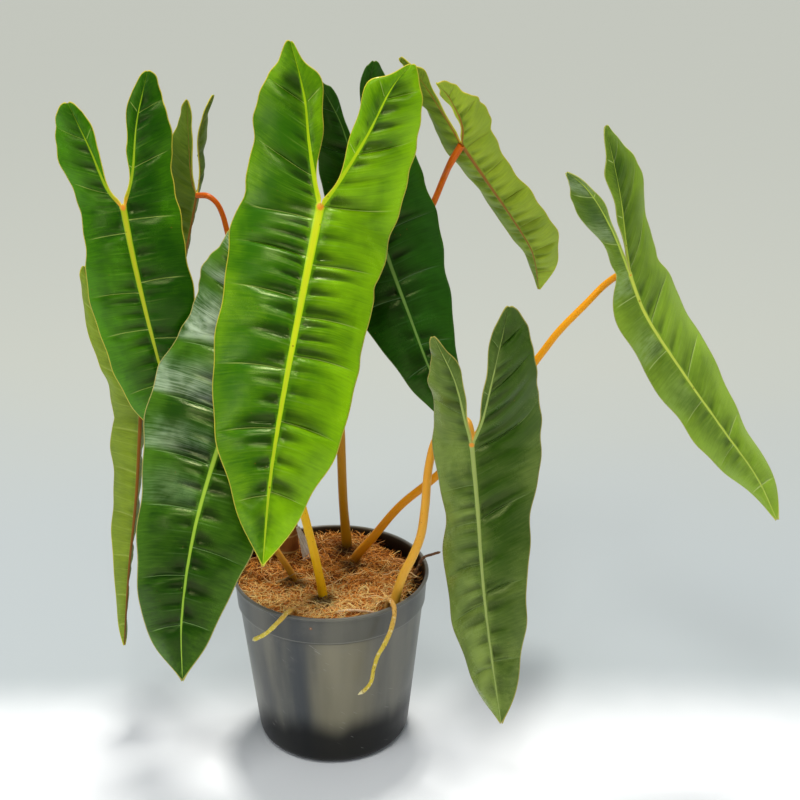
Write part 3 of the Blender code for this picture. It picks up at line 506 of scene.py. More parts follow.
# where the main veins leave the ribs: 0 at the lobe tip, 1 at the joint, 2 at the blade tip
veinPlan = {
    "1": {"left": (0.37, 0.81, 1.04, 1.15, 1.27, 1.47, 1.63, 1.81),
          "right": (0.25, 0.62, 0.99, 1.17, 1.32, 1.43, 1.61, 1.8)},
    "2": {"left": (0.34, 0.83, 1.1, 1.34, 1.49, 1.73, 1.88),
          "right": (0.3, 0.7, 1.05, 1.3, 1.53, 1.76, 1.9)},
    "3": {"left": (0.25, 0.65, 1.07, 1.24, 1.39, 1.52, 1.7, 1.84),
          "right": (0.3, 0.7, 1.03, 1.22, 1.41, 1.62, 1.83)},
    "6": {"left": (0.3, 0.7, 1.0, 1.2, 1.42, 1.69, 1.85),
          "right": (0.3, 0.65, 1.0, 1.17, 1.36, 1.61, 1.8)},
    "8": {"left": (0.25, 0.73, 1.14, 1.27, 1.42, 1.56, 1.79),
          "right": (0.28, 0.61, 1.03, 1.27, 1.53, 1.77)},
    "9": {"left": (0.28, 0.73, 1.07, 1.28, 1.49, 1.68, 1.86),
          "right": (0.25, 0.62, 0.97, 1.18, 1.4, 1.65, 1.86)},
    "other": {"left": (0.3, 0.72, 1.08, 1.25, 1.43, 1.6, 1.77, 1.9),
              "right": (0.28, 0.66, 1.03, 1.2, 1.38, 1.56, 1.73, 1.88)},
}


def veinPlaces(columns, length, veins, last):
    # even places with closer ones at each main vein and towards the rounded tip
    even = np.linspace(0, 1, columns + 1)
    near = [p + s / length for p in veins for s in (-1.9, -0.8, 0, 0.8, 1.9)]
    tip = 1 - last * (1 - np.linspace(0, 1, 9)[1:-1]) ** 2
    places = np.unique(np.round(np.concatenate([even, [p for p in near if 0 < p < 1 - last], tip]), 5))
    wide = np.concatenate([[True], np.diff(places) > 0.22 / length])
    return np.where(places == places[-1], 1.0, places)[wide | (places > 1 - last)]


def ribHalf(form, part):
    # half width of the coloured rib, in mm, along the lobe (part below 1) and the blade
    scale = form["ribScale"] * bladeForm["ribHalf"]
    return scale * np.where(part < 1, 0.62 - 0.48 * (1 - part), 1.0 - 0.86 * (part - 1))


def turned(ahead, face, sign, fold=0):
    # the way out from a rib and the face across it, folded up by so many degrees
    out = unit(np.cross(face, ahead)) * sign
    face = unit(np.cross(ahead, out)) * sign
    turn = math.radians(fold)
    return math.cos(turn) * out - math.sin(turn) * face, math.cos(turn) * face + math.sin(turn) * out


def outerSide(form, side, ribs, midrib):
    # gives a reader of base points, directions, faces and half widths by the length from the lobe tip,
    # and the lengths of lobe and blade
    sign = 1 if side == "right" else -1
    fold = form.get("fold", 0)
    fold = fold if not isinstance(fold, tuple) else fold[side == "right"]
    lobeSteps, bladeSteps = 120, 200
    fine = np.vstack([roundLine(ribs, np.linspace(1, 0, lobeSteps + 1)),
                      roundLine(midrib, np.linspace(0, 1, bladeSteps + 1))[1:]])
    run = runAlong(fine)
    part = np.concatenate([np.linspace(0, 1, lobeSteps + 1), 1 + np.linspace(0, 1, bladeSteps + 1)[1:]])

    def read(values, where):
        where = np.clip(where, 0, run[-1])
        return np.stack([np.interp(where, run, values[:, i]) for i in range(3)], -1)

    ahead = unit(read(fine, run + bladeForm["turnLength"]) - read(fine, run - bladeForm["turnLength"]))
    faces = np.array(form[side + "Face"], float)
    face = np.stack([np.interp(part, (0, 1, 2), faces[:, i]) for i in range(3)], -1)
    out, face = turned(ahead, face, sign, fold)
    sweep = np.where(part < 1, -straightValue(bladeForm["lobeSweep"], 1 - part),
                     straightValue(bladeForm["bladeSweep"], part - 1))
    sweep = np.radians(sweep)[:, None]
    direction = np.cos(sweep) * out + np.sin(sweep) * ahead

    def reader(where):
        own = np.interp(where, run, part)
        lobeEnd = np.sqrt(np.clip(1 - np.clip(1 - own, 0, 1) ** 6, 0, 1))
        bladeEnd = np.sqrt(np.clip(1 - np.clip(own - 1, 0, 1) ** 12, 0, 1))
        width = np.where(own < 1, roundValue(form[side + "Lobe"], 1 - own) * lobeEnd,
                         roundValue(form[side], own - 1) * bladeEnd)
        return read(fine, where), read(direction, where), read(face, where), read(ahead, where), width, own

    return reader, run[lobeSteps], run[-1] - run[lobeSteps]


def innerSide(form, side, ribs, places):
    sign = 1 if side == "right" else -1
    onward, backward = np.minimum(places + 0.08, 1), np.maximum(places - 0.08, 0)
    ahead = unit(roundLine(ribs, onward) - roundLine(ribs, backward))
    faces = np.array(form[side + "Face"], float)
    out, face = turned(ahead, faces[1] + (faces[0] - faces[1]) * places[:, None], sign)
    sweep = np.radians(straightValue(bladeForm["lobeSweep"], places))[:, None]
    direction = np.cos(sweep) * out + np.sin(sweep) * ahead
    width = roundValue(form[side + "Inner"], places) * np.sqrt(np.clip(1 - places ** 6, 0, 1))
    return roundLine(ribs, places), direction, face, width


def veinRelief(phase, off, across, clear, seed, scale):
    # height in mm and a painted shade share that darkens the pits, the creases and a band on the joint side
    # of each vein; clear is 0 on the rib and 1 off it
    # each main vein lies at the foot of a step: the sheet sinks towards it from the joint side
    # and stands out beyond it
    vein = np.floor(phase)
    past = phase - vein
    nearest = np.round(phase)
    reach = 0.8 + 0.18 * chance(nearest, seed)
    run = clear * (1 - ease(across, reach - 0.45, reach + 0.05))
    size = 0.55 + 0.6 * chance(vein, seed + 9)
    step = bladeForm["step"] * size * ease(past, 0.0, 0.14) * (1 - past) ** 0.9 * run
    depth = bladeForm["crease"] * (0.6 + 0.6 * chance(nearest + 40, seed))
    crease = depth * np.exp(-off / bladeForm["creaseWidth"]) * run
    swell = bladeForm["swell"] * (1 - np.exp(-off / 8)) * np.sin(np.pi * np.clip(across, 0, 1)) ** 0.8
    third = np.floor(phase * 3 + 0.15)
    within = phase * 3 + 0.15 - third
    deep = 0.35 + 0.9 * chance(third, seed + 3)
    length = 0.24 + 0.34 * chance(third, seed + 5)
    wave = ease(within, 0.2, 0.82) * (1 - ease(within, 0.84, 1.0))
    pits = bladeForm["pit"] * deep * wave * clear * np.exp(-(across / length) ** 2)
    # painted shade: how dark the pits, the creases and the band before each vein are coloured
    shadeShare = 0.35 * crease + 0.9 * pits + 0.8 * ease(past, 0.72, 0.98) * (1 - ease(past, 0.985, 1.0)) * run
    return (step + swell - crease - pits) * scale, np.clip(shadeShare, 0, 3) * scale / 3


# what each point of a blade tells its surface and colours, where nothing else is said: how far the rib
# stands out, whose normal it borrows, place between the veins and across, share of the rib's width,
# mm to the margin, place along the leaf, left or right half, mm to the next vein, painted shade of the
# hollows
usualFacts = {"ridge": 0, "lean": -1, "phase": 0, "across": 0, "ribShare": 0, "edgeMm": 40, "along": 1,
              "side": 0.5, "offVein": 9, "hollow": 0}
sideShare = {"left": 0.25, "right": 0.75}


def bladeSheet(form, seed):
    # middle sheet of a blade: points, faces and the facts of each point
    midrib = np.array(form["midrib"], float)
    lobes = {s: np.vstack([midrib[:1], np.array(form[s + "Rib"], float)]) for s in ("left", "right")}
    plan = {s: np.array([-0.35, *form["veins"][s], 2.25]) for s in ("left", "right")}
    readers = {s: outerSide(form, s, lobes[s], midrib) for s in ("left", "right")}
    both = np.concatenate([plan["left"], plan["right"]])
    bladeMm = readers["left"][2]
    onBlade = both[(both > 1) & (both < 1.97)] - 1
    bladePlaces = veinPlaces(bladeForm["bladeColumns"], bladeMm, onBlade, 1 / 72)
    lobePlaces = {}
    for side in ("left", "right"):
        onLobe = 1 - plan[side][(plan[side] > 0.1) & (plan[side] < 1)]
        lobePlaces[side] = veinPlaces(bladeForm["lobeColumns"], readers[side][1], onLobe, 1 / 16)
    relief = form["relief"]
    points = [roundLine(midrib, bladePlaces)]
    count = len(bladePlaces)
    facts = {name: [] for name in usualFacts}

    def note(shape, **own):
        for name, value in {**usualFacts, **own}.items():
            facts[name].append(np.full(shape, value, float).reshape(-1))

    note(count, ridge=1 - 0.75 * bladePlaces, phase=bladePlaces * 6, along=1 + bladePlaces)
    quads = []
    triangles = []
    ribIds = {"mid": np.arange(count)}
    total = count
    for side in ("left", "right"):
        own = lobePlaces[side][1:]
        n = len(own)
        points.append(roundLine(lobes[side], lobePlaces[side])[1:])
        note(n, ridge=0.8 - 0.55 * own, phase=own * 3, along=1 - own, side=sideShare[side])
        ribIds[side] = np.concatenate([[0], np.arange(total, total + n)])
        total += n

    def addRows(grid, values, columns, spine, flip):
        # grid of points (columns, rows); columns at the ends with no row join as fans
        nonlocal total
        ids = total + np.arange(grid.shape[0] * grid.shape[1]).reshape(grid.shape[:2])
        total += ids.size
        points.append(grid.reshape(-1, 3))
        note(grid.shape[:2], **values)
        full = np.hstack([spine[columns][:, None], ids])
        a, b, c, d = full[:-1, :-1], full[1:, :-1], full[1:, 1:], full[:-1, 1:]
        quad = np.stack([a, b, c, d], -1).reshape(-1, 4)
        quads.append(quad[:, ::-1] if flip else quad)
        return full

    def fan(tip, column, flip, first):
        for j in range(len(column) - 1):
            tri = (tip, column[j], column[j + 1]) if first else (column[j], tip, column[j + 1])
            triangles.append(tri[::-1] if flip else tri)

    for side in ("left", "right"):
        flip = side == "left"
        reader, lobeMm, bladeMm = readers[side]
        ribPart = np.concatenate([1 - lobePlaces[side][::-1], 1 + bladePlaces[1:]])
        spine = np.concatenate([ribIds[side][::-1], ribIds["mid"][1:]])
        inside = np.arange(1, len(spine) - 1)
        p = ribPart[inside][:, None]
        start = np.where(p < 1, p * lobeMm, lobeMm + (p - 1) * bladeMm)
        w = reader(start)[4]
        band = ribHalf(form, p)
        edgeOfRib = np.minimum(0.3, 1.3 * band / w)
        even = np.linspace(0, 1, bladeForm["rows"] + 1)[1:]
        rows = np.concatenate([bladeForm["ribRows"], np.ones(len(even))])[None, :]
        spread = np.concatenate([np.zeros(len(bladeForm["ribRows"])), even ** 0.94])[None, :]
        across = edgeOfRib * rows * (spread == 0) + (edgeOfRib + (1 - edgeOfRib) * spread) * (spread > 0)
        lean = roundValue(bladeForm["lean"], p / 2) + form["lean"][side == "right"]
        shift = w * across * np.tan(np.radians(lean)) * ease(p, 0.0, 0.4) * ease(p, 1.98, 1.6)
        base, direction, face, ahead, wide, own = reader(start + shift)
        wide = wide * (1 + form["scallop"] * (np.sin(own * 23 + seed) + np.sin(own * 41 + 2 * seed)))
        for place, depth, spread in form["nicks"].get(side, ()):
            wide = wide - depth * np.exp(-((own - place) / spread) ** 2)
        phase = np.interp(p, plan[side], np.arange(len(plan[side]))) + 0 * across
        off = np.min(np.abs(p[:, :, None] - plan[side]), -1) * np.where(p < 1, lobeMm, bladeMm) + 0 * across
        lift = bladeForm["puff"] * wide * 4 * across * (1 - across)
        lift = lift - bladeForm["droop"] * wide ** 2 * across ** 2
        margin = bladeForm["wave"] * np.sin(own * form["wave"] * math.pi + (0.7 if side == "left" else 2.1))
        margin = margin + 0.5 * np.sin(own * 31 + seed)
        clear = ease(wide * across / np.maximum(band, 0.3), 1.0, 2.6) * ease(p, 1.98, 1.82)
        height, hollow = veinRelief(phase, off, across, clear, seed + (side == "right"), relief)
        narrowing = np.clip(w / 30, 0.15, 1)
        lift = lift + margin * across ** 2 + narrowing * height
        bow = -0.035 * wide * np.sin(np.pi * across) * ease(p, 0.9, 1.4)
        grid = (base + direction * (wide * across)[:, :, None] + face * lift[:, :, None]
                + ahead * bow[:, :, None])
        share = wide * across / np.maximum(band, 0.3)
        tilt = 0.5 + (0.5 if side == "right" else -0.5) * ease(across, 0, 0.25)
        ridge = 0.25 + 0.75 * np.where(p < 1, 0.8 - 0.55 * (1 - p), 1 - 0.75 * (p - 1))
        full = addRows(grid, {
            "ridge": ridge * np.sqrt(np.clip(1 - (share / 1.15) ** 2, 0, 1)), "phase": phase,
            "across": across, "ribShare": share, "edgeMm": wide * (1 - across), "along": p, "side": tilt,
            "offVein": off, "hollow": hollow * narrowing}, inside, spine, flip)
        fan(spine[0], full[0], flip, True)
        fan(spine[-1], full[-1], flip, False)

    middle = unit(unit(lobes["left"][1] - lobes["left"][0]) + unit(lobes["right"][1] - lobes["right"][0]))
    cadNear = np.linalg.norm(roundLine(lobes["left"], [0.125]) - roundLine(lobes["right"], [0.125]))
    crotch = min(0.45 * cadNear, 4.0)
    steps = np.linspace(0, 1, bladeForm["innerRows"] + 1)[1:]
    points.append(midrib[0] + middle * crotch * steps[:, None])
    sinus = total + np.arange(len(steps))
    total += len(steps)
    note(len(steps), ridge=0.6 - 0.45 * steps, lean=0, across=steps, ribShare=steps * 1.2,
         edgeMm=crotch * (1 - steps))
    for side in ("left", "right"):
        flip = side == "left"
        own = lobePlaces[side]
        apart = np.linalg.norm(roundLine(lobes["left"], own) - roundLine(lobes["right"], own), axis=1)
        base, direction, face, width = innerSide(form, side, lobes[side], own)
        inside = np.arange(1, len(own) - 1)
        v = own[inside][:, None]
        w = np.minimum(width, form.get("innerShare", bladeForm["innerShare"]) * apart)[inside][:, None]
        w = w * (1 + form["scallop"] * 12 * np.sin(v * 19 + seed) * ease(v, 0.2, 0.5))
        across = steps[None, :] + 0 * w
        lift = bladeForm["puff"] * w * 4 * across * (1 - across)
        lift = lift - bladeForm["droop"] * w * w * across ** 2
        lift = lift + bladeForm["wave"] * 0.5 * np.sin(v * 15.2) * ease(w, 4, 9) * across ** 2
        phase = np.interp(1 - v, plan[side], np.arange(len(plan[side]))) + 0 * across
        off = np.min(np.abs(1 - v[:, :, None] - plan[side]), -1) * readers[side][1] + 0 * across
        height, hollow = veinRelief(phase, off, across, ease(w * across, 2, 5), seed + 7, relief)
        lift = lift + 0.6 * height * ease(w, 6, 16)
        grid = (base[inside][:, None, :] + direction[inside][:, None, :] * (w * across)[:, :, None]
                + face[inside][:, None, :] * lift[:, :, None])
        share = w * across / ribHalf(form, 1 - v)
        spine = ribIds[side]
        lean = np.where(w < 5, spine[inside][:, None], -1)
        full = addRows(grid, {
            "ridge": (0.8 - 0.55 * v) * np.sqrt(np.clip(1 - (share / 1.15) ** 2, 0, 1)), "lean": lean,
            "phase": phase, "across": across, "ribShare": share, "edgeMm": w * (1 - across),
            "along": 1 - v, "side": sideShare[side], "offVein": off,
            "hollow": 0.6 * hollow * ease(w, 6, 16)}, inside, spine, flip)
        start = np.concatenate([[0], sinus])
        quad = np.stack([start[:-1], full[0][:-1], full[0][1:], start[1:]], -1)
        quads.append(quad[:, ::-1] if flip else quad)
        fan(spine[-1], full[-1], flip, False)
    facts = {name: np.concatenate(value) for name, value in facts.items()}
    return np.vstack(points), np.vstack(quads), np.array(triangles), facts


def makeBlade(key, form, material):
    points, quads, triangles, facts = bladeSheet(form, int(key))
    normals = np.zeros_like(points)
    for ring, (a, b, c, d) in ((quads, (2, 0, 3, 1)), (triangles, (1, 0, 2, 0))):
        n = np.cross(points[ring[:, a]] - points[ring[:, b]], points[ring[:, c]] - points[ring[:, d]])
        for k in range(ring.shape[1]):
            np.add.at(normals, ring[:, k], n)
    normals = unit(normals)
    lean = facts.pop("lean").astype(int)
    normals[lean >= 0] = normals[lean[lean >= 0]]
    ridge = facts.pop("ridge") * bladeForm["ribDrop"] * min(1, 1.3 * form["ribScale"])
    joint = np.linalg.norm(points - points[0], axis=1)
    knob = bladeForm["knob"] * np.exp(-(joint / bladeForm["knobWidth"]) ** 2)
    flatRidge = bladeForm["flatRidge"] * ridge
    under = form.get("under", False)
    front = bladeForm["halfThick"] + (ridge if under else flatRidge + knob)
    back = bladeForm["halfThick"] + (flatRidge if under else ridge)
    count = len(points)
    both = np.vstack([points + normals * front[:, None], points - normals * back[:, None]]) * mm
    allFaces = np.vstack([quads, quads[:, ::-1] + count])
    corners = np.vstack([triangles, triangles[:, ::-1] + count])
    border = {}
    for ring in list(quads) + list(triangles):
        for p, q in zip(ring, np.roll(ring, -1)):
            border[(int(p), int(q))] = True
    rim = [(q, p, p + count, q + count) for p, q in border if (q, p) not in border]
    attributes = {name: np.tile(value, 2) for name, value in facts.items()}
    attributes["jointMm"] = np.tile(joint, 2)
    attributes["upper"] = np.repeat((0.0, 1.0) if under else (1.0, 0.0), count)
    faces = allFaces.tolist() + corners.tolist() + rim
    return newPiece("blade" + key, both, faces, attributes=attributes, material=material)


def leafFinish(key, look):
    # a waxy green leaf: flat yellow rib, thin side veins, fine lines along them, pale matt underside, with
    # painted light and shade: lighter and darker halves, lit margins, dark hollows and sheen bands
    material, wire, shader = newFinish("leaf" + key, {
        "Coat Weight": look["coat"], "Specular IOR Level": look["specular"],
        "Specular Tint": (0.9, 1.0, 0.4, 1.0), "Subsurface Weight": 0.55,
        "Subsurface Radius": (1.0, 1.0, 0.5), "Subsurface Scale": 0.0015})
    phase, across, along = map(wire.attribute, ("phase", "across", "along"))
    ribShare, edgeMm, offVein = map(wire.attribute, ("ribShare", "edgeMm", "offVein"))
    jointMm, hollow, upper, side = map(wire.attribute, ("jointMm", "hollow", "upper", "side"))
    spot = wire.spot()
    number = float(key)

    lineSpot = wire.place(phase * 34, across * 2.2, number)
    lines = lineSpot.noise(1.0, 4.0, 0.65)
    fineLines = wire.place(phase * 120, across * 5, number + 3).noise(1.0, 2.0, 0.6)
    mottle = spot.noise(26.0, 3.0, 0.55, 0.4)
    blotch = spot.stretch(1.0, 1.0, 0.7).noise(9.0, 2.0)
    grainy = spot.noise(900.0, 2.0, 0.7)

    # painted light: each half of the blade is painted lighter or darker by how the light falls on it
    half = look["leftLitShare"] + side * (look["rightLitShare"] - look["leftLitShare"])
    # painted light: the blade is painted lighter near its margins, standing in for light shining through it
    paintedGlow = edgeMm.rise(look["paintedGlowWidth"], 0.0) * look["paintedGlow"]
    lightShare = half + (mottle - 0.5) * 0.75 + (blotch - 0.5) * 0.7 + (lines - 0.5) * 0.55 + paintedGlow
    lightShare = lightShare + (along - 1.0) * look["tipLight"]
    tissue = lightShare.rise(-0.05, 1.05).mix(look["deep"], look["light"])
    # painted shade: the hollows and the band before each vein are coloured darker, towards the pit colour
    tissue = (hollow.rise(0.0, 0.7) * look["shadow"]).mix(tissue, look["pit"])
    # painted highlight: pale sheen bands between the veins, on the lobes and the left half, stand in for
    # light reflected from the waxy surface, weaker in the painted shade of the hollows
    past = phase - wire.calc("FLOOR", phase)
    sheen = (past + (mottle - 0.5) * 0.7).rise(0.2, 0.95) * past.rise(1.0, 0.9)
    sheen = sheen * (lines * 0.9 + mottle * 0.7).rise(0.55, 1.05)
    paintedSheenShare = along.rise(1.62, 1.05) * side.rise(0.5, 0.1) * sheen * look["paintedSheenShare"]
    tissue = (paintedSheenShare * (1 - hollow * 0.8)).mix(tissue, look["paintedSheenColor"])
    veinLine = offVein.rise(0.8, 0.2) * across.rise(0.95, 0.6) * look["veinShare"]
    tissue = veinLine.mix(tissue, look["vein"])
    smallVein = (phase * 3 - wire.calc("ROUND", phase * 3)).absolute()
    tissue = (smallVein.rise(0.05, 0.0) * across.rise(0.6, 0.15) * 0.1).mix(tissue, look["vein"])
    ribCloud = wire.place(along * 9, ribShare * 1.6, number).noise(1.0, 3.0)
    ribTone = ribCloud * 0.8 + along.rise(1.0, 2.0) * 0.5
    ribColor = ribTone.rise(0.2, 1.2).mix(look["rib"], look["ribEnd"])
    ribColor = (ribShare.rise(0.45, 1.02) * 0.7).mix(ribColor, look["light"])
    ribColor = (jointMm.rise(22, 3) * along.rise(1.0, 0.97) * look["ribHead"]).mix(ribColor, look["joint"])
    ribColor = (along.rise(0.995, 0.9) * 0.4).mix(ribColor, look["light"])
    top = ribShare.rise(1.12, 0.9).mix(tissue, ribColor)
    top = (jointMm.rise(look["jointSize"], 0.5 * look["jointSize"]) * 0.9).mix(top, look["joint"])
    top = (edgeMm.rise(look["marginWidth"], 0.3 * look["marginWidth"]) * 0.85).mix(top, look["margin"])

    underShare = 0.45 + (mottle - 0.5) * 0.6 + (lines - 0.5) * 0.7
    underShare = underShare + (side - 0.5) * look["underSide"]
    below = underShare.rise(0.0, 1.0).mix(look["underDeep"], look["underLight"])
    below = (offVein.rise(1.6, 0.3) * across.rise(1.0, 0.6) * 0.5).mix(below, look["underVein"])
    below = (smallVein.rise(0.07, 0.0) * 0.25).mix(below, look["underVein"])
    # painted shade: the hollows of the underside are coloured darker
    below = (hollow.rise(0.0, 0.6) * look["underShadow"]).mix(below, look["underPitShade"])
    underRib = ribTone.rise(0.2, 1.2).mix(look["underRib"], look["underRibEnd"])
    below = ribShare.rise(1.15, 0.75).mix(below, underRib)
    below = (edgeMm.rise(1.3, 0.4) * 0.7).mix(below, look["margin"])
    color = upper.rise(0.4, 0.6).mix(below, top)
    speckSpot = spot.cells(150.0)
    speckPick = spot.noise(60.0, 1.0)
    speck = speckSpot.rise(0.13, 0.05) * speckPick.rise(0.6, 0.68) * look["specks"]
    color = speck.mix(color, paint(110, 75, 25))
    ribSpeck = speckSpot.rise(0.2, 0.1) * spot.noise(110.0, 1.0).rise(0.55, 0.62)
    color = (ribSpeck * ribShare.rise(1.0, 0.8) * 0.65).mix(color, paint(122, 96, 22))

    rough = look["roughness"] + (mottle - 0.5) * 0.14 + (grainy - 0.5) * 0.06
    rough = (rough * upper + (1 - upper) * 0.52).rise(0.0, 1.0)
    height = (lines - 0.5) * 0.5 + (fineLines - 0.5) * 0.22 + (grainy - 0.5) * 0.06
    height = height + offVein.rise(1.2, 0.0) * (0.5 - upper) * 0.9
    ribGrain = wire.place(along * 14, ribShare * 4, number).noise(1.0, 2.0) - 0.5
    height = height * ribShare.rise(0.9, 1.3) + ribGrain * 0.3
    return feed(material, shader, color=color, roughness=rough, normal=bumpFrom(wire, height, 0.5, 0.0006))


leafLook = {
    "deep": paint(50, 104, 8), "light": paint(150, 196, 28), "vein": paint(200, 214, 110),
    "rib": paint(206, 214, 26), "ribEnd": paint(168, 190, 36), "margin": paint(218, 200, 70),
    "joint": paint(226, 140, 44), "pit": paint(14, 44, 2), "paintedSheenShare": 0.0,
    "paintedSheenColor": paint(216, 228, 206), "ribHead": 0.0, "marginWidth": 1.2, "jointSize": 6.0,
    "veinShare": 0.5, "shadow": 0.8, "specular": 0.3, "coat": 0.0, "leftLitShare": 0.25,
    "rightLitShare": 0.55, "paintedGlow": 0.2, "paintedGlowWidth": 22.0, "roughness": 0.32, "tipLight": 0.0,
    "relief": 1.0, "lean": (0, 0), "ribScale": 1.0, "nicks": {}, "scallop": 0.012, "underShadow": 0.3,
    "underPitShade": paint(52, 76, 16), "underSide": 0.0, "specks": 0.5, "underDeep": paint(96, 122, 40),
    "underLight": paint(140, 160, 62), "underVein": paint(160, 175, 80),
    "underRib": paint(190, 120, 40), "underRibEnd": paint(160, 150, 50),
}
leafLooks = {
    "1": {"ribScale": 0.94, "jointSize": 4.5, "deep": paint(44, 100, 0), "light": paint(150, 202, 8),
          "leftLitShare": 0.08, "rightLitShare": 0.5, "relief": 1.15,
          "nicks": {"left": ((0.8, -1.5, 0.06), (0.93, 5.0, 0.05), (1.2, 2.4, 0.09)),
                    "right": ((1.17, 2.5, 0.025), (1.27, -2.0, 0.04), (1.36, 2.0, 0.03))}},
    "2": {"deep": paint(18, 70, 0), "light": paint(90, 160, 0), "leftLitShare": 0.3, "rightLitShare": 0.12,
          "specular": 0.24, "rib": paint(184, 184, 34), "ribScale": 0.72, "jointSize": 3.6,
          "ribHead": 0.8, "nicks": {"right": ((0.12, -2.5, 0.08),)}, "ribEnd": paint(176, 184, 50),
          "paintedGlow": 0.2, "specks": 0.8, "relief": 0.75, "veinShare": 0.6, "pit": paint(10, 40, 2),
          "vein": paint(170, 190, 90), "lean": (0, 6)},
    "3": {"deep": paint(20, 62, 2), "light": paint(100, 154, 30), "leftLitShare": 0.32, "rightLitShare": 0.34,
          "rib": paint(170, 198, 60), "ribEnd": paint(150, 184, 70), "paintedGlow": 0.15,
          "vein": paint(150, 190, 110), "margin": paint(190, 180, 100), "tipLight": -0.25,
          "pit": paint(6, 28, 4), "jointSize": 1.0, "ribScale": 0.7, "paintedSheenShare": 0.7, "specular": 0.24},
    "4": {"underDeep": paint(60, 90, 14), "underLight": paint(122, 146, 34),
          "underVein": paint(106, 126, 40), "underRib": paint(150, 104, 44),
          "underRibEnd": paint(140, 110, 44), "relief": 0.6, "ribScale": 0.28},
    "5": {"underDeep": paint(74, 94, 28), "underLight": paint(140, 162, 40),
          "underRib": paint(140, 84, 30), "underRibEnd": paint(120, 80, 35), "underSide": -0.3,
          "relief": 0.5, "ribScale": 0.45},
    "6": {"deep": paint(10, 46, 2), "light": paint(48, 108, 22), "leftLitShare": 0.25, "rightLitShare": 0.45,
          "specular": 0.24, "rib": paint(130, 164, 80), "ribEnd": paint(116, 152, 74), "paintedGlow": 0.15,
          "vein": paint(100, 140, 90), "margin": paint(110, 134, 60), "ribScale": 0.6,
          "marginWidth": 0.8, "roughness": 0.32, "relief": 0.7, "pit": paint(6, 26, 6),
          "jointSize": 1.0},
    "7": {"deep": paint(40, 90, 6), "light": paint(110, 160, 24), "underDeep": paint(100, 132, 42),
          "underLight": paint(176, 196, 50), "underRib": paint(158, 100, 34),
          "underRibEnd": paint(150, 120, 50), "underSide": 0.35, "relief": 1.05, "ribScale": 0.4,
          "scallop": 0.025, "underShadow": 0.4, "underVein": paint(130, 140, 50)},
    "8": {"deep": paint(40, 74, 6), "light": paint(132, 152, 70), "leftLitShare": 0.55, "rightLitShare": 0.15,
          "tipLight": 0.15, "rib": paint(156, 170, 96), "ribEnd": paint(144, 160, 92), "shadow": 0.6,
          "scallop": 0.01, "paintedGlow": 0.1, "vein": paint(134, 156, 92), "margin": paint(176, 164, 84),
          "roughness": 0.34, "specks": 0.3, "relief": 1.0, "lean": (20, -20), "ribScale": 0.5,
          "pit": paint(30, 50, 14), "veinShare": 0.5, "jointSize": 3.0},
    "9": {"deep": paint(46, 82, 16), "light": paint(142, 174, 50), "leftLitShare": 0.3, "rightLitShare": 0.5,
          "tipLight": 0.3, "paintedSheenShare": 0.6, "paintedSheenColor": paint(150, 168, 134), "rib": paint(196, 204, 84),
          "nicks": {"left": ((0.985, 8.0, 0.06),), "right": ((0.97, 5.5, 0.045), (1.06, -3.0, 0.04))},
          "ribEnd": paint(170, 190, 84), "paintedGlow": 0.3, "vein": paint(190, 206, 130),
          "margin": paint(190, 190, 100), "roughness": 0.38, "relief": 0.6, "lean": (24, -26),
          "ribScale": 0.36, "pit": paint(38, 66, 18), "veinShare": 0.6, "shadow": 0.6, "scallop": 0.014,
          "jointSize": 1.0},
}

blades = {}
for key, form in leafForms.items():
    look = {**leafLook, **leafLooks[key]}
    own = {name: look[name] for name in ("ribScale", "relief", "lean", "nicks", "scallop")}
    whole = {**form, **own, "veins": veinPlan.get(key, veinPlan["other"])}
    blade = makeBlade(key, whole, leafFinish(key, look))
    mount(blade, "leaf_green", "blade_" + key)
    blades[key] = blade
    print("blade", key, len(blade.data.polygons), "faces")


def strandTree():
    # round strand along a line of points: its own thickness at each point, a little unevenness, a finish
    tree, start, identifiers = growTree("roundStrand", {
        "Geometry": "Geometry", "Sides": "Int", "Step": "Float", "Unevenness": "Float",
        "Lump size": "Float", "Material": "Material"})
    kind = {"data_type": "FLOAT"}
    thick = start.make("GeometryNodeInputNamedAttribute", kind, {"Name": "thick"}, "Attribute")
    curve = start.make("GeometryNodeMeshToCurve", {}, {"Mesh": start.other("Geometry")})
    curve = start.make("GeometryNodeResampleCurve", {"mode": "LENGTH"},
                       {"Curve": curve, "Length": start.other("Step")})
    ring = start.make("GeometryNodeCurvePrimitiveCircle", {"mode": "RADIUS"},
                      {"Resolution": start.other("Sides"), "Radius": 1.0})
    mesh = start.make("GeometryNodeCurveToMesh", {},
                      {"Curve": curve, "Profile Curve": ring, "Scale": thick, "Fill Caps": True})
    spot = start.make("GeometryNodeInputPosition")
    lump = spot.noise(start.other("Lump size"), 3.0) - 0.5
    normal = start.make("GeometryNodeInputNormal")
    offset = normal.shade(lump * start.other("Unevenness"))
    mesh = start.make("GeometryNodeSetPosition", {}, {"Geometry": mesh, "Offset": offset})
    mesh = start.make("GeometryNodeSetShadeSmooth", {}, {"Geometry": mesh})
    closeTree(tree, mesh, start)
    return tree, identifiers


roundStrand, strandInputs = strandTree()


def strand(name, line, thick, material, sides, step, unevenness, lumpSize):
    # line and thick in mm; thick is the radius at each point of the line
    line = np.asarray(line, float) * mm
    edges = [(i, i + 1) for i in range(len(line) - 1)]
    run = runAlong(line)
    piece = newPiece(name, line, [], edges, {"thick": np.asarray(thick) * mm, "along": run / run[-1]})
    grown(piece, roundStrand, strandInputs, {
        "Sides": sides, "Step": step * mm, "Unevenness": unevenness * mm, "Lump size": lumpSize,
        "Material": material})
    faceOutward(piece)
    return piece


stalkForm = {"swellAtBlade": 0.14, "footFlare": 0.16, "steps": 60}


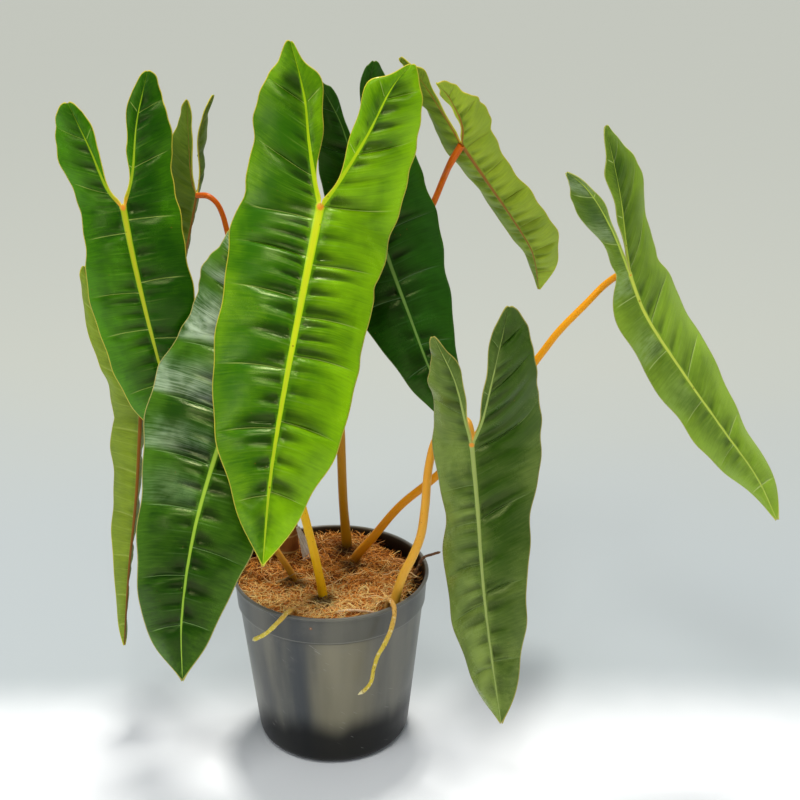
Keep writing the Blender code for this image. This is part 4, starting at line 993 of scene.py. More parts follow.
def stalkPath(form, blade):
    # stalk points that end just inside the back of the blade at its joint
    joint = np.array(form["midrib"][0], float)
    down = unit(np.array(form["midrib"][1], float) - joint)
    face = unit(unit(form["leftFace"][1]) + unit(form["rightFace"][1]))
    face = unit(face - down * float(np.dot(face, down)))
    back = face if form.get("under") else -face
    if "jointSide" in form:
        back = unit(form["jointSide"])
    radius = form["stalkRadius"][1]
    across = np.cross(back, down)
    tree = BVHTree.FromPolygons([v.co for v in blade.data.vertices],
                                [tuple(p.vertices) for p in blade.data.polygons])
    # rays from behind find the sheet; the stalk's end sinks a little into it
    away, nearest, sink = 14, 11.5, 0.4
    start = joint + back * away
    reach = away
    for share in (0.0, 0.5, 1.05):
        for i in range(12):
            angle = i * math.pi / 6
            origin = (start + radius * share * (math.cos(angle) * across + math.sin(angle) * down)) * mm
            hit = tree.ray_cast(Vector(origin), Vector(-back))
            if hit[0] is not None:
                reach = min(reach, hit[3] / mm)
    end = start - back * (max(reach, nearest) + sink)
    bend = [] if form.get("under") else [end + back * 10]
    return np.array(list(form["stalk"]) + bend + [end], float)


def stalkFinish(key, look):
    # waxy orange skin with long streaks, greener at the foot, redder at the blade
    material, wire, shader = newFinish("stalk" + key, {
        "Coat Weight": 0.05, "Coat Roughness": 0.25, "Specular IOR Level": 0.3,
        "Specular Tint": (1.0, 0.85, 0.5, 1.0), "Subsurface Weight": 0.4,
        "Subsurface Radius": (1.0, 0.75, 0.2), "Subsurface Scale": 0.005})
    along, spot = wire.attribute("along"), wire.spot()
    streak = spot.stretch(420, 420, 26).noise(1.0, 3.0, 0.6)
    cloud = spot.noise(34.0, 3.0)
    color = (along + (cloud - 0.5) * 0.3).rise(0.12, 0.75).mix(look["foot"], look["middle"])
    color = (along + (cloud - 0.5) * 0.08).rise(look["headFrom"], 1.0).mix(color, look["head"])
    color = (((streak - 0.42) * 1.5).rise(0.0, 1.0) * cloud * 0.55).mix(color, look["streak"])
    soiled = (along + (cloud - 0.5) * 0.05).rise(look["soilLine"], look["soilLine"] - 0.05)
    color = (soiled * 0.8).mix(color, look["soil"])
    dots = spot.cells(300.0)
    dotted = dots.rise(0.2, 0.08) * spot.noise(90.0, 1.0).rise(0.5, 0.6)
    color = (dotted * 0.55).mix(color, look["speck"])
    rough = 0.4 + (cloud - 0.5) * 0.2
    height = (streak - 0.5) * 0.5 + (spot.noise(700.0, 2.0) - 0.5) * 0.2
    return feed(material, shader, color=color, roughness=rough, normal=bumpFrom(wire, height, 0.4, 0.0005))


stalkLook = {
    "foot": paint(212, 156, 20), "middle": paint(244, 172, 16), "head": paint(232, 140, 20),
    "headFrom": 0.8, "streak": paint(190, 116, 20), "speck": paint(120, 70, 20),
    "soil": paint(110, 76, 20), "soilLine": 0.12,
}
stalkLooks = {
    "1": {"foot": paint(180, 128, 8), "middle": paint(202, 140, 10)},
    "2": {},
    # stalk 3 is painted brighter gold, as painted light for the sun on its front
    "3": {"foot": paint(246, 190, 10), "middle": paint(255, 204, 20)},
    "4": {"middle": paint(205, 120, 26), "head": paint(206, 92, 4), "headFrom": 0.55},
    "5": {"foot": paint(190, 135, 40)},
    "6": {"foot": paint(130, 90, 30), "middle": paint(165, 100, 22)},
    "7": {"foot": paint(160, 106, 30), "middle": paint(206, 108, 20), "head": paint(206, 96, 2),
          "headFrom": 0.5},
    "8": {"foot": paint(226, 172, 60), "middle": paint(222, 156, 44), "head": paint(210, 150, 50)},
    "9": {"foot": paint(206, 132, 10), "middle": paint(238, 162, 18), "head": paint(240, 160, 24)},
}

for key, form in leafForms.items():
    path = roundLine(stalkPath(form, blades[key]), np.linspace(0, 1, stalkForm["steps"] * 3))
    s = np.linspace(0, 1, len(path))
    foot, head = form["stalkRadius"]
    swell = stalkForm["swellAtBlade"] * ease(s, 0.93, 0.975)
    flare = stalkForm["footFlare"] * ease(s, 0.2, 0.05)
    thick = (foot + (head - foot) * s) * (1 + swell + flare)
    finish = stalkFinish(key, {**stalkLook, **stalkLooks[key]})
    stalk = strand("stalk" + key, path, thick, finish, sides=20, step=2.5, unevenness=0.25,
                   lumpSize=55.0)
    mount(stalk, "petiole_orange", "petiole_" + key)
print("stalks done")


stemForm = {"foot": (-45, 50, 118), "top": (-48, 56, 236), "radius": 11.0, "rings": 7, "steps": 90}


def stemFinish():
    # short brown stem: leaf scars as rings, corky streaks, green-brown near the top
    material, wire, shader = newFinish("stem", {"Specular IOR Level": 0.35})
    spot, along = wire.spot(), wire.attribute("along")
    streak = spot.stretch(260, 260, 40).noise(1.0, 4.0, 0.6)
    cloud = spot.noise(60.0, 3.0)
    color = (cloud + (along - 0.5) * 0.5).rise(0.3, 0.8).mix(paint(134, 78, 30), paint(176, 112, 48))
    color = ((streak - 0.5) * 2).rise(0.0, 1.0).mix(color, paint(92, 52, 24))
    rings = along * stemForm["rings"]
    scar = (rings - wire.calc("ROUND", rings)).absolute()
    color = scar.rise(0.09, 0.02).mix(color, paint(200, 160, 100))
    height = streak * 0.8 - scar.rise(0.12, 0.0) * 0.6 + spot.noise(500.0, 3.0) * 0.4
    return feed(material, shader, color=color, roughness=0.62 + (cloud - 0.5) * 0.3,
                normal=bumpFrom(wire, height, 0.6, 0.001))


s = np.linspace(0, 1, stemForm["steps"])
stemLine = np.array(stemForm["foot"]) + np.outer(s, np.subtract(stemForm["top"], stemForm["foot"]))
rings = np.exp(-((s * stemForm["rings"] - np.round(s * stemForm["rings"])) / 0.08) ** 2)
topRound = np.sqrt(np.clip(1 - ease(s, 0.93, 1.04) ** 2, 0.2, 1))
stemThick = stemForm["radius"] * (1 + 0.045 * rings + 0.03 * np.sin(s * 9)) * topRound
stem = strand("stem-bark", stemLine, stemThick, stemFinish(), sides=40, step=1.5, unevenness=1.4,
              lumpSize=70.0)
mount(stem, "stem_bark", "stem")


sheathForm = {
    "path": [(-25, 38, 140), (-25, 38, 166), (-29, 39, 182), (-35, 41, 199)], "widths": (9, 10, 7, 1.5),
    "thick": 0.7, "rows": 60, "columns": 36,
}


def sheathFinish():
    # dry papery leaf sheath, pale grey with brown ribs
    material, wire, shader = newFinish("sheath", {"Specular IOR Level": 0.25, "Sheen Weight": 0.2})
    spot, across = wire.spot(), wire.attribute("across")
    rib = wire.place(across * 34, spot.stretch(0, 0, 26), 0.0).noise(1.0, 3.0)
    cloud = spot.noise(120.0, 4.0, 0.6)
    color = (rib * 0.7 + cloud * 0.5).rise(0.35, 0.85).mix(paint(186, 166, 144), paint(246, 242, 232))
    return feed(material, shader, color=color, roughness=0.8 + (cloud - 0.5) * 0.2,
                normal=bumpFrom(wire, rib + cloud * 0.5, 0.7, 0.0008))


def makeSheath():
    rows, columns = sheathForm["rows"], sheathForm["columns"]
    path = roundLine(sheathForm["path"], np.linspace(0, 1, rows))
    s = np.linspace(0, 1, rows)[:, None]
    j = np.linspace(-1, 1, columns)[None, :]
    width = roundValue(sheathForm["widths"], s)
    away, across = unit((0.86, -0.5, 0)), unit((0.5, 0.86, 0))
    crumple = 0.8 * np.sin(j * 9 + s * 7) * np.sin(s * 11 + j * 3) + 0.35 * np.sin(j * 23 - s * 19)
    frayed = 1 - 0.12 * (np.sin(s * 37) * np.sin(s * 61)) ** 2
    bow = 0.25 * width * (1 - j * j) + crumple * (0.3 + 0.7 * s)
    sheet = path[:, None, :] + across * (j * width * frayed)[:, :, None] + away * bow[:, :, None]
    count = rows * columns
    half = sheathForm["thick"] / 2
    points = np.vstack([(sheet + away * half).reshape(-1, 3), (sheet - away * half).reshape(-1, 3)]) * mm
    ids = np.arange(count).reshape(rows, columns)
    quad = np.stack([ids[:-1, :-1], ids[:-1, 1:], ids[1:, 1:], ids[1:, :-1]], -1).reshape(-1, 4)
    border = list(ids[0, :-1]) + list(ids[:-1, -1]) + list(ids[-1, :0:-1]) + list(ids[:0:-1, 0])
    rim = [(b, a, a + count, b + count) for a, b in zip(border, border[1:] + border[:1])]
    faces = quad.tolist() + (quad[:, ::-1] + count).tolist() + [tuple(map(int, r)) for r in rim]
    facts = {"across": np.tile((j + 0 * s).reshape(-1), 2)}
    piece = newPiece("papery-sheath", points, faces, attributes=facts, material=sheathFinish())
    faceOutward(piece)
    mount(piece, "dry_sheath", "cataphyll")


makeSheath()


rootForms = {
    "root_front_left": {
        "path": [(-27, -64, 146), (-28, -68, 160), (-30, -76, 172), (-34, -86, 177.8),
                 (-43, -96, 172.5), (-54, -98, 162), (-68, -91, 150)],
        "radius": (2.4, 1.9), "slot": "root_tan", "upper": paint(204, 148, 66),
        "lower": paint(204, 184, 66), "tip": paint(216, 206, 150), "change": 0.6,
    },
    "root_front_right": {
        "path": [(54, -55, 150), (55, -59, 166), (56.5, -64, 175.6), (58.5, -69.5, 178.6),
                 (61, -76, 178), (62, -81, 172), (58, -86, 156), (53, -89, 145), (47, -91, 134),
                 (43, -93, 122), (40, -93, 106), (34, -94, 98), (28, -95, 94)],
        "radius": (2.5, 1.7), "slot": "root_tan", "upper": paint(208, 152, 72),
        "lower": paint(204, 180, 58), "tip": paint(224, 212, 160), "change": 0.5,
    },
    "root_right": {
        "path": [(74, 10, 146), (82, 11, 162), (90, 11, 180), (99, 11, 184), (107, 12, 186)],
        "radius": (2.0, 1.2), "slot": "root_brown", "upper": paint(112, 74, 44),
        "lower": paint(96, 62, 40), "tip": paint(120, 80, 50), "change": 0.6,
    },
    "surface_root": {
        "path": [(5, -63, 157), (9, -65, 164), (20, -66, 166.5), (34, -66.5, 166), (44, -66, 163.5),
                 (49, -66, 158)],
        "radius": (1.5, 1.2), "slot": "root_pale", "upper": paint(226, 196, 156),
        "lower": paint(206, 160, 116), "tip": paint(220, 190, 150), "change": 0.5,
    },
}


def rootFinish(name, look):
    # dry skin that flakes: pale crusts over tan, yellow-green towards the tip
    material, wire, shader = newFinish(name + "-skin", {"Specular IOR Level": 0.35})
    along, spot = wire.attribute("along"), wire.spot()
    cloud = spot.noise(150.0, 4.0, 0.6)
    flake = spot.stretch(1, 1, 0.6).noise(420.0, 3.0, 0.7)
    change = (along + (cloud - 0.5) * 0.35).rise(look["change"] - 0.25, look["change"] + 0.15)
    color = change.mix(look["upper"], look["lower"])
    color = along.rise(0.93, 0.985).mix(color, look["tip"])
    color = (flake.rise(0.56, 0.66) * 0.75).mix(color, paint(232, 218, 176))
    color = (flake.rise(0.42, 0.34) * 0.75).mix(color, paint(116, 76, 34))
    height = flake * 0.9 + cloud * 0.6
    return feed(material, shader, color=color, roughness=0.66 + (cloud - 0.5) * 0.3,
                normal=bumpFrom(wire, height, 0.8, 0.0012))


rootSteps = 90
for name, form in rootForms.items():
    s = np.linspace(0, 1, rootSteps)
    path = roundLine(form["path"], s)
    first, last = form["radius"]
    thick = (first + (last - first) * s) * np.sqrt(np.clip(1 - ease(s, 0.95, 1.0) ** 2, 0.04, 1))
    thick = thick * (1 + 0.07 * np.sin(s * 31) * np.sin(s * 17 + 1))
    root = strand(name.replace("_", "-"), path, thick, rootFinish(name, form), sides=16, step=1.2,
                  unevenness=0.9, lumpSize=160.0)
    mount(root, form["slot"], name)
print("stem, sheath and roots done")


potForm = {
    "height": 174.0, "rim": 95.0, "bandHeight": 29.0, "bandStep": 3.0, "base": 75.0, "baseRound": 9.0,
    "wall": 1.4, "floor": 2.4, "around": 176, "holes": 6, "holeRadius": 4.5, "holeCircle": 52.0,
}


def potProfile():
    # closed outline from the axis under the pot, up the outside, over the lip
    # and down the inside to the axis
    base, rim, top, wall = (potForm[name] for name in ("base", "rim", "height", "wall"))
    bend, bandFoot, level = potForm["baseRound"], top - potForm["bandHeight"], potForm["floor"]
    underBand = base + (rim - potForm["bandStep"] - base - 2.5)
    line = [(0.0, 0.0), (20.0, 0.0), (base - bend - 6, 0.0), (base - bend, 0.0)]
    for i in range(1, 9):
        angle = i * math.pi / 18
        line.append((base - bend + bend * math.sin(angle), bend * (1 - math.cos(angle))))
    line.append((base + 0.35, bend + 1.5))
    for i in range(1, 16):
        share = i / 16
        line.append((base + 0.35 + (underBand - base - 0.35) * share,
                     bend + 1.5 + (bandFoot - 3.0 - bend - 1.5) * share))
    line += [(underBand + out, bandFoot + up) for out, up in (
        (0.0, -2.6), (0.25, -1.5), (0.2, -0.9), (-0.1, -0.5), (0.1, -0.1))]
    line += [(rim - 3.7, bandFoot + 0.1), (rim - 3.42, bandFoot + 0.5)]
    for i in range(1, 7):
        line.append((rim - 3.4 + 1.7 * i / 7, bandFoot + 1 + (potForm["bandHeight"] - 6) * i / 7))
    line += [(rim - out, top - down) for out, down in (
        (1.6, 4.4), (1.3, 3.7), (0.5, 3.3), (0.1, 2.7), (0, 1.8), (0.1, 0.9), (0.5, 0.3), (1.1, 0),
        (2.2, 0), (2.8, 0.2), (3.2, 0.7), (3.5, 1.6), (3.6, 3), (3.9, 12))]
    line += [(rim - 3.4 - wall, bandFoot + 2), (underBand - wall, bandFoot - 3)]
    for i in range(1, 6):
        share = i / 6
        line.append((underBand - wall + (base - underBand) * share,
                     bandFoot - 3 + (bend - bandFoot + 3) * share))
    line += [(base - wall, bend), (base - 4.5, 4.2), (base - bend - wall, level),
             (30.0, level), (0.0, level)]
    return line


# marks on the plastic, in metres: heights between which the lip is painted pale as a painted highlight,
# radii and heights between which the inner wall begins, place of the moulding dot
potMarks = {
    "lip": (0.1715, 0.1727), "innerRadius": (0.0917, 0.0912), "innerHeight": (0.144, 0.147),
    "gate": (-0.0145, -0.0925, 0.1625),
}


def potFinish():
    # satin black plastic: faint upright flow streaks, dust, small scratches and a moulding dot on the band,
    # with painted reflections, a painted dark groove and painted highlights on the step and lip
    material, wire, shader = newFinish("pot-plastic", {"Specular IOR Level": 0.22, "Coat Roughness": 0.28})
    spot = wire.spot()
    bandFoot = (potForm["height"] - potForm["bandHeight"]) * mm
    upright = spot.stretch(120, 120, 5).noise(1.0, 3.0, 0.5)
    wide = spot.stretch(26, 26, 4).noise(1.0, 2.0)
    dust = spot.noise(60.0, 4.0, 0.65)
    grain = spot.noise(1500.0, 2.0)
    height = spot.axis("Z")
    # dark grey plastic with broad lighter upright bands painted in as reflections of the surroundings
    color = (wide * 0.9 + upright * 0.2).rise(0.35, 0.75).mix(paint(58, 62, 66), paint(112, 110, 98))
    sides = spot.axis("X")
    onBand = height.rise(bandFoot - 0.001, bandFoot + 0.001)
    # painted reflection: a warm band down the middle of the front
    warmReflection = (sides - 0.012 + (wide - 0.5) * 0.03).absolute().rise(0.045, 0.01) * (0.5 - 0.32 * onBand)
    color = warmReflection.mix(color, paint(140, 132, 102))
    color = (dust.rise(0.5, 0.8) * 0.3 * height.rise(0.02, 0.15)).mix(color, paint(120, 118, 112))
    # painted reflection: below a wavy line a few cm up, the colour is painted near black, standing in for
    # the shaded floor mirrored there; the coat is added above it
    aboveDarkReflection = (height - sides * 0.08 + (wide - 0.5) * 0.03).rise(0.03, 0.062)
    color = ((1 - aboveDarkReflection) * 0.95).mix(color, paint(9, 9, 9))
    color = (height.rise(bandFoot - 0.0005, bandFoot + 0.0005) * 0.4).mix(color, paint(44, 46, 46))
    # painted shade: a dark line in the groove at the foot of the band
    grooveShade = (height - (bandFoot - 0.0002)).absolute().rise(0.0008, 0.0003)
    color = (grooveShade * 0.75).mix(color, paint(18, 17, 15))
    # painted highlight: a pale line along the step just above the groove
    ridge = (height - (bandFoot + 0.0014)).absolute().rise(0.0006, 0.0002)
    color = (ridge * 0.3).mix(color, paint(170, 168, 156))
    # painted highlight: the lip is painted paler
    color = (height.rise(*potMarks["lip"]) * 0.25).mix(color, paint(146, 142, 130))
    aslant = wire.make("ShaderNodeVectorRotate", {"rotation_type": "EULER_XYZ"},
                       {"Vector": spot, "Rotation": (0.5, 0.9, 0.3)})
    scratch = aslant.stretch(900, 60, 60).noise(1.0, 1.0).rise(0.71, 0.76)
    scratch = scratch * spot.noise(30.0, 1.0).rise(0.55, 0.65)
    color = (scratch * 0.5).mix(color, paint(170, 168, 160))
    away = spot.stretch(1, 1, 0).distanceTo((0.0, 0.0, 0.0))
    inside = away.rise(*potMarks["innerRadius"]) * height.rise(*potMarks["innerHeight"])
    color = inside.mix(color, paint(12, 11, 11))
    gate = spot.distanceTo(potMarks["gate"])
    gateColor = gate.rise(0.0012, 0.0006).mix(paint(112, 72, 46), paint(214, 186, 150))
    color = gate.rise(0.0022, 0.0012).mix(color, gateColor)
    rough = 0.36 + (upright - 0.5) * 0.1 + (dust - 0.5) * 0.12 + scratch * 0.2
    bump = grain * 0.2 + upright * 0.15 + scratch * 0.5 + gate.rise(0.0024, 0.0006) * 1.5
    return feed(material, shader, color=color, roughness=rough, coat=(0.02 + aboveDarkReflection * 0.22) * (1 - inside),
                normal=bumpFrom(wire, bump, 0.25, 0.0006))


def potTree():
    # the outline read row by row and turned about the upright axis, with the drain holes cut through
    tree, start, identifiers = growTree("turnedPot", {
        "Geometry": "Geometry", "Around": "Int", "Holes": "Int", "Hole radius": "Float",
        "Hole circle": "Float", "Material": "Material"})
    outline, spot = start.other("Geometry"), start.make("GeometryNodeInputPosition")
    count = start.make("GeometryNodeAttributeDomainSize", {"component": "MESH"}, {"Geometry": outline},
                       "Point Count")
    grid = start.make("GeometryNodeMeshGrid", {}, {
        "Size X": 1.0, "Size Y": 1.0, "Vertices X": start.other("Around") + 1, "Vertices Y": count})
    where = spot.axis("X")
    row = start.calc("ROUND", (where.other("Y") + 0.5) * (count - 1))
    own = start.make("GeometryNodeSampleIndex", {"data_type": "FLOAT_VECTOR", "domain": "POINT"},
                     {"Geometry": outline, "Value": spot, "Index": row}).axis("X")
    angle = (where + 0.5) * (2 * math.pi)
    place = start.place(own * start.calc("COSINE", angle), own * start.calc("SINE", angle), own.other("Z"))
    mesh = start.make("GeometryNodeSetPosition", {}, {"Geometry": grid, "Position": place})
    mesh = start.make("GeometryNodeMergeByDistance", {}, {"Geometry": mesh, "Distance": 0.00002})
    ring = start.make("GeometryNodeMeshCircle", {}, {
        "Vertices": start.other("Holes"), "Radius": start.other("Hole circle")})
    half = start.make("GeometryNodeTransform", {}, {
        "Geometry": ring, "Rotation": (0.0, 0.0, math.pi / potForm["holes"])})
    plug = start.make("GeometryNodeMeshCylinder", {}, {
        "Vertices": 24, "Radius": start.other("Hole radius"), "Depth": 0.02})
    plugs = start.make("GeometryNodeInstanceOnPoints", {}, {"Points": half, "Instance": plug})
    plugs = start.make("GeometryNodeRealizeInstances", {}, {"Geometry": plugs})
    mesh = start.make("GeometryNodeMeshBoolean", {"operation": "DIFFERENCE", "solver": "EXACT"},
                      {"Mesh 1": mesh, "Mesh 2": plugs})
    mesh = start.make("GeometryNodeSetShadeSmooth", {}, {"Geometry": mesh})
    closeTree(tree, mesh, start)
    return tree, identifiers


def makePot():
    outline = np.array([(r, 0.0, z) for r, z in potProfile()]) * mm
    piece = newPiece("nursery-pot", outline, [], [(i, i + 1) for i in range(len(outline) - 1)])
    tree, identifiers = potTree()
    grown(piece, tree, identifiers, {
        "Around": potForm["around"], "Holes": potForm["holes"], "Hole radius": potForm["holeRadius"] * mm,
        "Hole circle": potForm["holeCircle"] * mm, "Material": potFinish()})
    faceOutward(piece)
    mount(piece, "pot_plastic", "pot")
    print("pot", len(piece.data.polygons), "faces")


makePot()


coirForm = {
    "level": 164.0, "lump": 2.6, "rings": 60, "sectors": 150, "edge": 90.0, "fibres": 4550,
    "longFibres": 110, "chips": 240, "seed": 11,
    # radius and height of the rows of points up the side
    "side": ((64.0, 2.8), (73.0, 10.0), (86.0, 138.0), (87.6, 152.0)),
    # in metres: heights between which the painted shade deepens, reach of the painted shade round the
    # stalks
    "deep": (0.159, 0.154), "footShade": (0.019, 0.006),
}


def coirHeight(x, y):
    # lumpy top in mm, lower beside the right wall
    radius = np.hypot(x, y) / 89
    angle = np.arctan2(y, x)
    lumps = (np.sin(x * 0.19 + 1.3) * np.cos(y * 0.17 - 0.4) + 0.6 * np.sin(x * 0.41 + y * 0.35)
             + 0.5 * np.cos(x * 0.62 - y * 0.54 + 2))
    right = ease(np.cos(angle + 0.15), 0.15, 0.6) * ease(radius, 0.78, 0.9)
    back = np.maximum(0, np.sin(angle)) * radius * radius
    ripple = 0.5 * np.sin(x * 1.7 + 2 * np.sin(y * 0.9)) * np.cos(y * 1.5 + 1.0)
    small = ripple + 0.35 * np.sin(x * 3.1 - y * 2.7)
    return (coirForm["level"] + coirForm["lump"] * lumps * (1 - 0.3 * radius)
            - 11.5 * right + 2 * back - 1.5 * radius ** 6 + small)


def coirFinish(name, dark, middle, light):
    # coconut fibre: each strand its own brown, painted lighter towards the front for the light falling
    # there, with painted shade deep down and round the stalk feet
    material, wire, shader = newFinish(name, {"Specular IOR Level": 0.12})
    spot, tint = wire.spot(), wire.attribute("tint")
    cloud = spot.noise(45.0, 3.0)
    streak = spot.noise(600.0, 3.0, 0.7)
    where = spot.axis("Y")
    share = tint * 0.75 + (cloud - 0.5) * 0.5 + (streak - 0.5) * 0.45 + 0.1
    # painted light: fibres towards the front are painted lighter for the light falling there
    share = share + where.rise(0.03, -0.07) * 0.4
    color = share.rise(0.1, 0.6).mix(dark, middle)
    color = share.rise(0.55, 1.0).mix(color, light)
    # painted shade: darker deep down between the fibres
    color = (where.other("Z").rise(*coirForm["deep"]) * 0.95).mix(color, paint(14, 7, 4))
    for key in ("1", "3", "5", "8", "9"):
        x, y, z = leafForms[key]["stalk"][1]
        foot = spot.distanceTo((x * mm, (y - 9) * mm, z * mm))
        shade = (foot + (cloud - 0.5) * 0.02).rise(*coirForm["footShade"])
        color = (shade * 0.8).mix(color, paint(30, 13, 5))
    return feed(material, shader, color=color, roughness=0.78 + (cloud - 0.5) * 0.2,
                normal=bumpFrom(wire, streak, 0.6, 0.0006))


coirColors = (paint(136, 70, 20), paint(246, 162, 66), paint(255, 228, 150))


def makeCoirBody():
    rings, sectors = coirForm["rings"], coirForm["sectors"]
    sides = coirForm["side"]
    angle = 2 * np.pi * np.arange(sectors) / sectors
    points = [np.array([[0, 0, sides[0][1]]])]
    for radius, height in sides:
        flat = np.full(sectors, height)
        points.append(np.stack([radius * np.cos(angle), radius * np.sin(angle), flat], -1))
    for i in range(rings, 0, -1):
        x = coirForm["edge"] * i / rings * np.cos(angle)
        y = coirForm["edge"] * i / rings * np.sin(angle)
        points.append(np.stack([x, y, coirHeight(x, y)], -1))
    points.append(np.array([[0, 0, float(coirHeight(0.0, 0.0))]]))
    points = np.vstack(points)
    loops = 1 + np.arange((len(sides) + rings) * sectors).reshape(-1, sectors)

    def between(rows):
        a, b = rows[:-1], rows[1:]
        return np.stack([a, np.roll(a, -1, 1), np.roll(b, -1, 1), b], -1).reshape(-1, 4).tolist()

    low = [(0, int(loops[0][(j + 1) % sectors]), int(loops[0][j])) for j in range(sectors)]
    high = [(len(points) - 1, int(loops[-1][j]), int(loops[-1][(j + 1) % sectors])) for j in range(sectors)]
    finish = coirFinish("coir-ground", paint(84, 42, 14), paint(164, 94, 34), paint(216, 144, 70))
    body = newPiece("coir-body", points * mm, between(loops) + low + high,
                    attributes={"tint": np.full(len(points), 0.25)}, material=finish)
    faceOutward(body)
    mount(body, "coir_fibre", "coir")
    return newPiece("coirTop", points * mm, between(loops[len(sides):]))


def curlyStrand(name, length, thick, joints, sides, curl, draw, holder):
    # one thin strand that wanders, tapered at both ends, lying along its own X axis
    heading, pitch = draw.uniform(-0.4, 0.4), 0.0
    line = [np.zeros(3)]
    for i in range(joints):
        heading += draw.uniform(-curl, curl)
        pitch = 0.6 * pitch + draw.uniform(-0.35, 0.35)
        flat = math.cos(pitch)
        ahead = np.array([math.cos(heading) * flat, math.sin(heading) * flat, math.sin(pitch)])
        line.append(line[-1] + length / joints * ahead)
    line = np.array(line) - np.mean(line, axis=0)
    ahead = unit(np.gradient(line, axis=0))
    side = unit(np.cross(ahead, (0.1, 0.2, 1.0)))
    lift = np.cross(side, ahead)
    points, faces = [], []
    for i in range(joints + 1):
        radius = thick * (0.45 if i in (0, joints) else 1.0)
        for j in range(sides):
            angle = 2 * math.pi * j / sides
            points.append(line[i] + radius * (math.cos(angle) * side[i] + math.sin(angle) * lift[i]))
    for i in range(joints):
        for j in range(sides):
            k = (j + 1) % sides
            faces.append((i * sides + j, i * sides + k, (i + 1) * sides + k, (i + 1) * sides + j))
    faces.append(tuple(range(sides))[::-1])
    faces.append(tuple(joints * sides + j for j in range(sides)))
    piece = newPiece(name, np.array(points) * mm, faces)
    faceOutward(piece)
    scene.collection.objects.unlink(piece)
    holder.objects.link(piece)


def scatterTree():
    # strands strewn over a surface: how many per square metre, how far they tilt, how much they stand off
    tree, start, identifiers = growTree("strewnStrands", {
        "Geometry": "Geometry", "Strands": "Collection", "Density": "Float", "Tilt": "Float",
        "Stand off": "Float", "Smallest": "Float", "Largest": "Float", "Seed": "Int",
        "Material": "Material"})
    seed = start.other("Seed")
    points = start.make("GeometryNodeDistributePointsOnFaces", {"distribute_method": "RANDOM"}, {
        "Mesh": start.other("Geometry"), "Density": start.other("Density"), "Seed": seed})

    def draw(kind, low, high, step):
        sockets = {"Min": low, "Max": high, "Seed": seed + step}
        return start.make("FunctionNodeRandomValue", {"data_type": kind}, sockets, "Value")

    tilt = start.other("Tilt")
    turn = start.place(draw("FLOAT", 0.0, 1.0, 1) * tilt * 2 - tilt,
                       draw("FLOAT", 0.0, 1.0, 2) * tilt * 2 - tilt,
                       draw("FLOAT", 0.0, 2 * math.pi, 3))
    offset = start.place(0.0, 0.0, draw("FLOAT", -0.4, 1.0, 4) * start.other("Stand off"))
    points = start.make("GeometryNodeSetPosition", {}, {"Geometry": points, "Offset": offset})
    shapes = start.make("GeometryNodeCollectionInfo", {}, {
        "Collection": start.other("Strands"), "Separate Children": True, "Reset Children": True})
    smallest, largest = start.other("Smallest"), start.other("Largest")
    size = smallest + draw("FLOAT", 0.0, 1.0, 5) * (largest - smallest)
    strands = start.make("GeometryNodeInstanceOnPoints", {}, {
        "Points": points, "Instance": shapes, "Pick Instance": True,
        "Instance Index": draw("INT", 0, 1000, 6), "Rotation": turn,
        "Scale": start.place(size, size, size)})
    strands = start.make("GeometryNodeStoreNamedAttribute", {"data_type": "FLOAT", "domain": "INSTANCE"},
                         {"Geometry": strands, "Name": "tint", "Value": draw("FLOAT", 0.0, 1.0, 7)})
    closeTree(tree, strands, start)
    return tree, identifiers


strewnStrands, strewnInputs = scatterTree()


def keepInside(mesh, limit):
    # points beyond the pot's inner wall are drawn in to it
    spots = np.empty(len(mesh.vertices) * 3, np.float32)
    mesh.vertices.foreach_get("co", spots)
    spots = spots.reshape(-1, 3)
    radius = np.hypot(spots[:, 0], spots[:, 1])
    spots[:, :2] *= np.minimum(1.0, limit * mm / np.maximum(radius, 1e-6))[:, None]
    mesh.vertices.foreach_set("co", spots.ravel())
    mesh.update()


def strew(name, ground, kinds, density, tilt, standOff, sizes, seed, material):
    piece = bpy.data.objects.new(name, ground.data.copy())
    scene.collection.objects.link(piece)
    grown(piece, strewnStrands, strewnInputs, {
        "Strands": kinds, "Density": density, "Tilt": tilt, "Stand off": standOff * mm,
        "Smallest": sizes[0], "Largest": sizes[1], "Seed": seed, "Material": material})
    for shape in list(kinds.objects):
        bpy.data.objects.remove(shape, do_unlink=True)
    bpy.data.collections.remove(kinds)
    keepInside(piece.data, coirForm["edge"] + 0.4)
    mount(piece, "coir_fibre")
    print(name, len(piece.data.polygons), "faces")


def strandKinds(name, count, length, thick, joints, sides, curl, seed):
    draw = random.Random(seed)
    holder = bpy.data.collections.new(name)
    scene.collection.children.link(holder)
    for i in range(count):
        long, wide = draw.uniform(*length), draw.uniform(*thick)
        curlyStrand(name + str(i), long, wide, joints, sides, curl, draw, holder)
    return holder


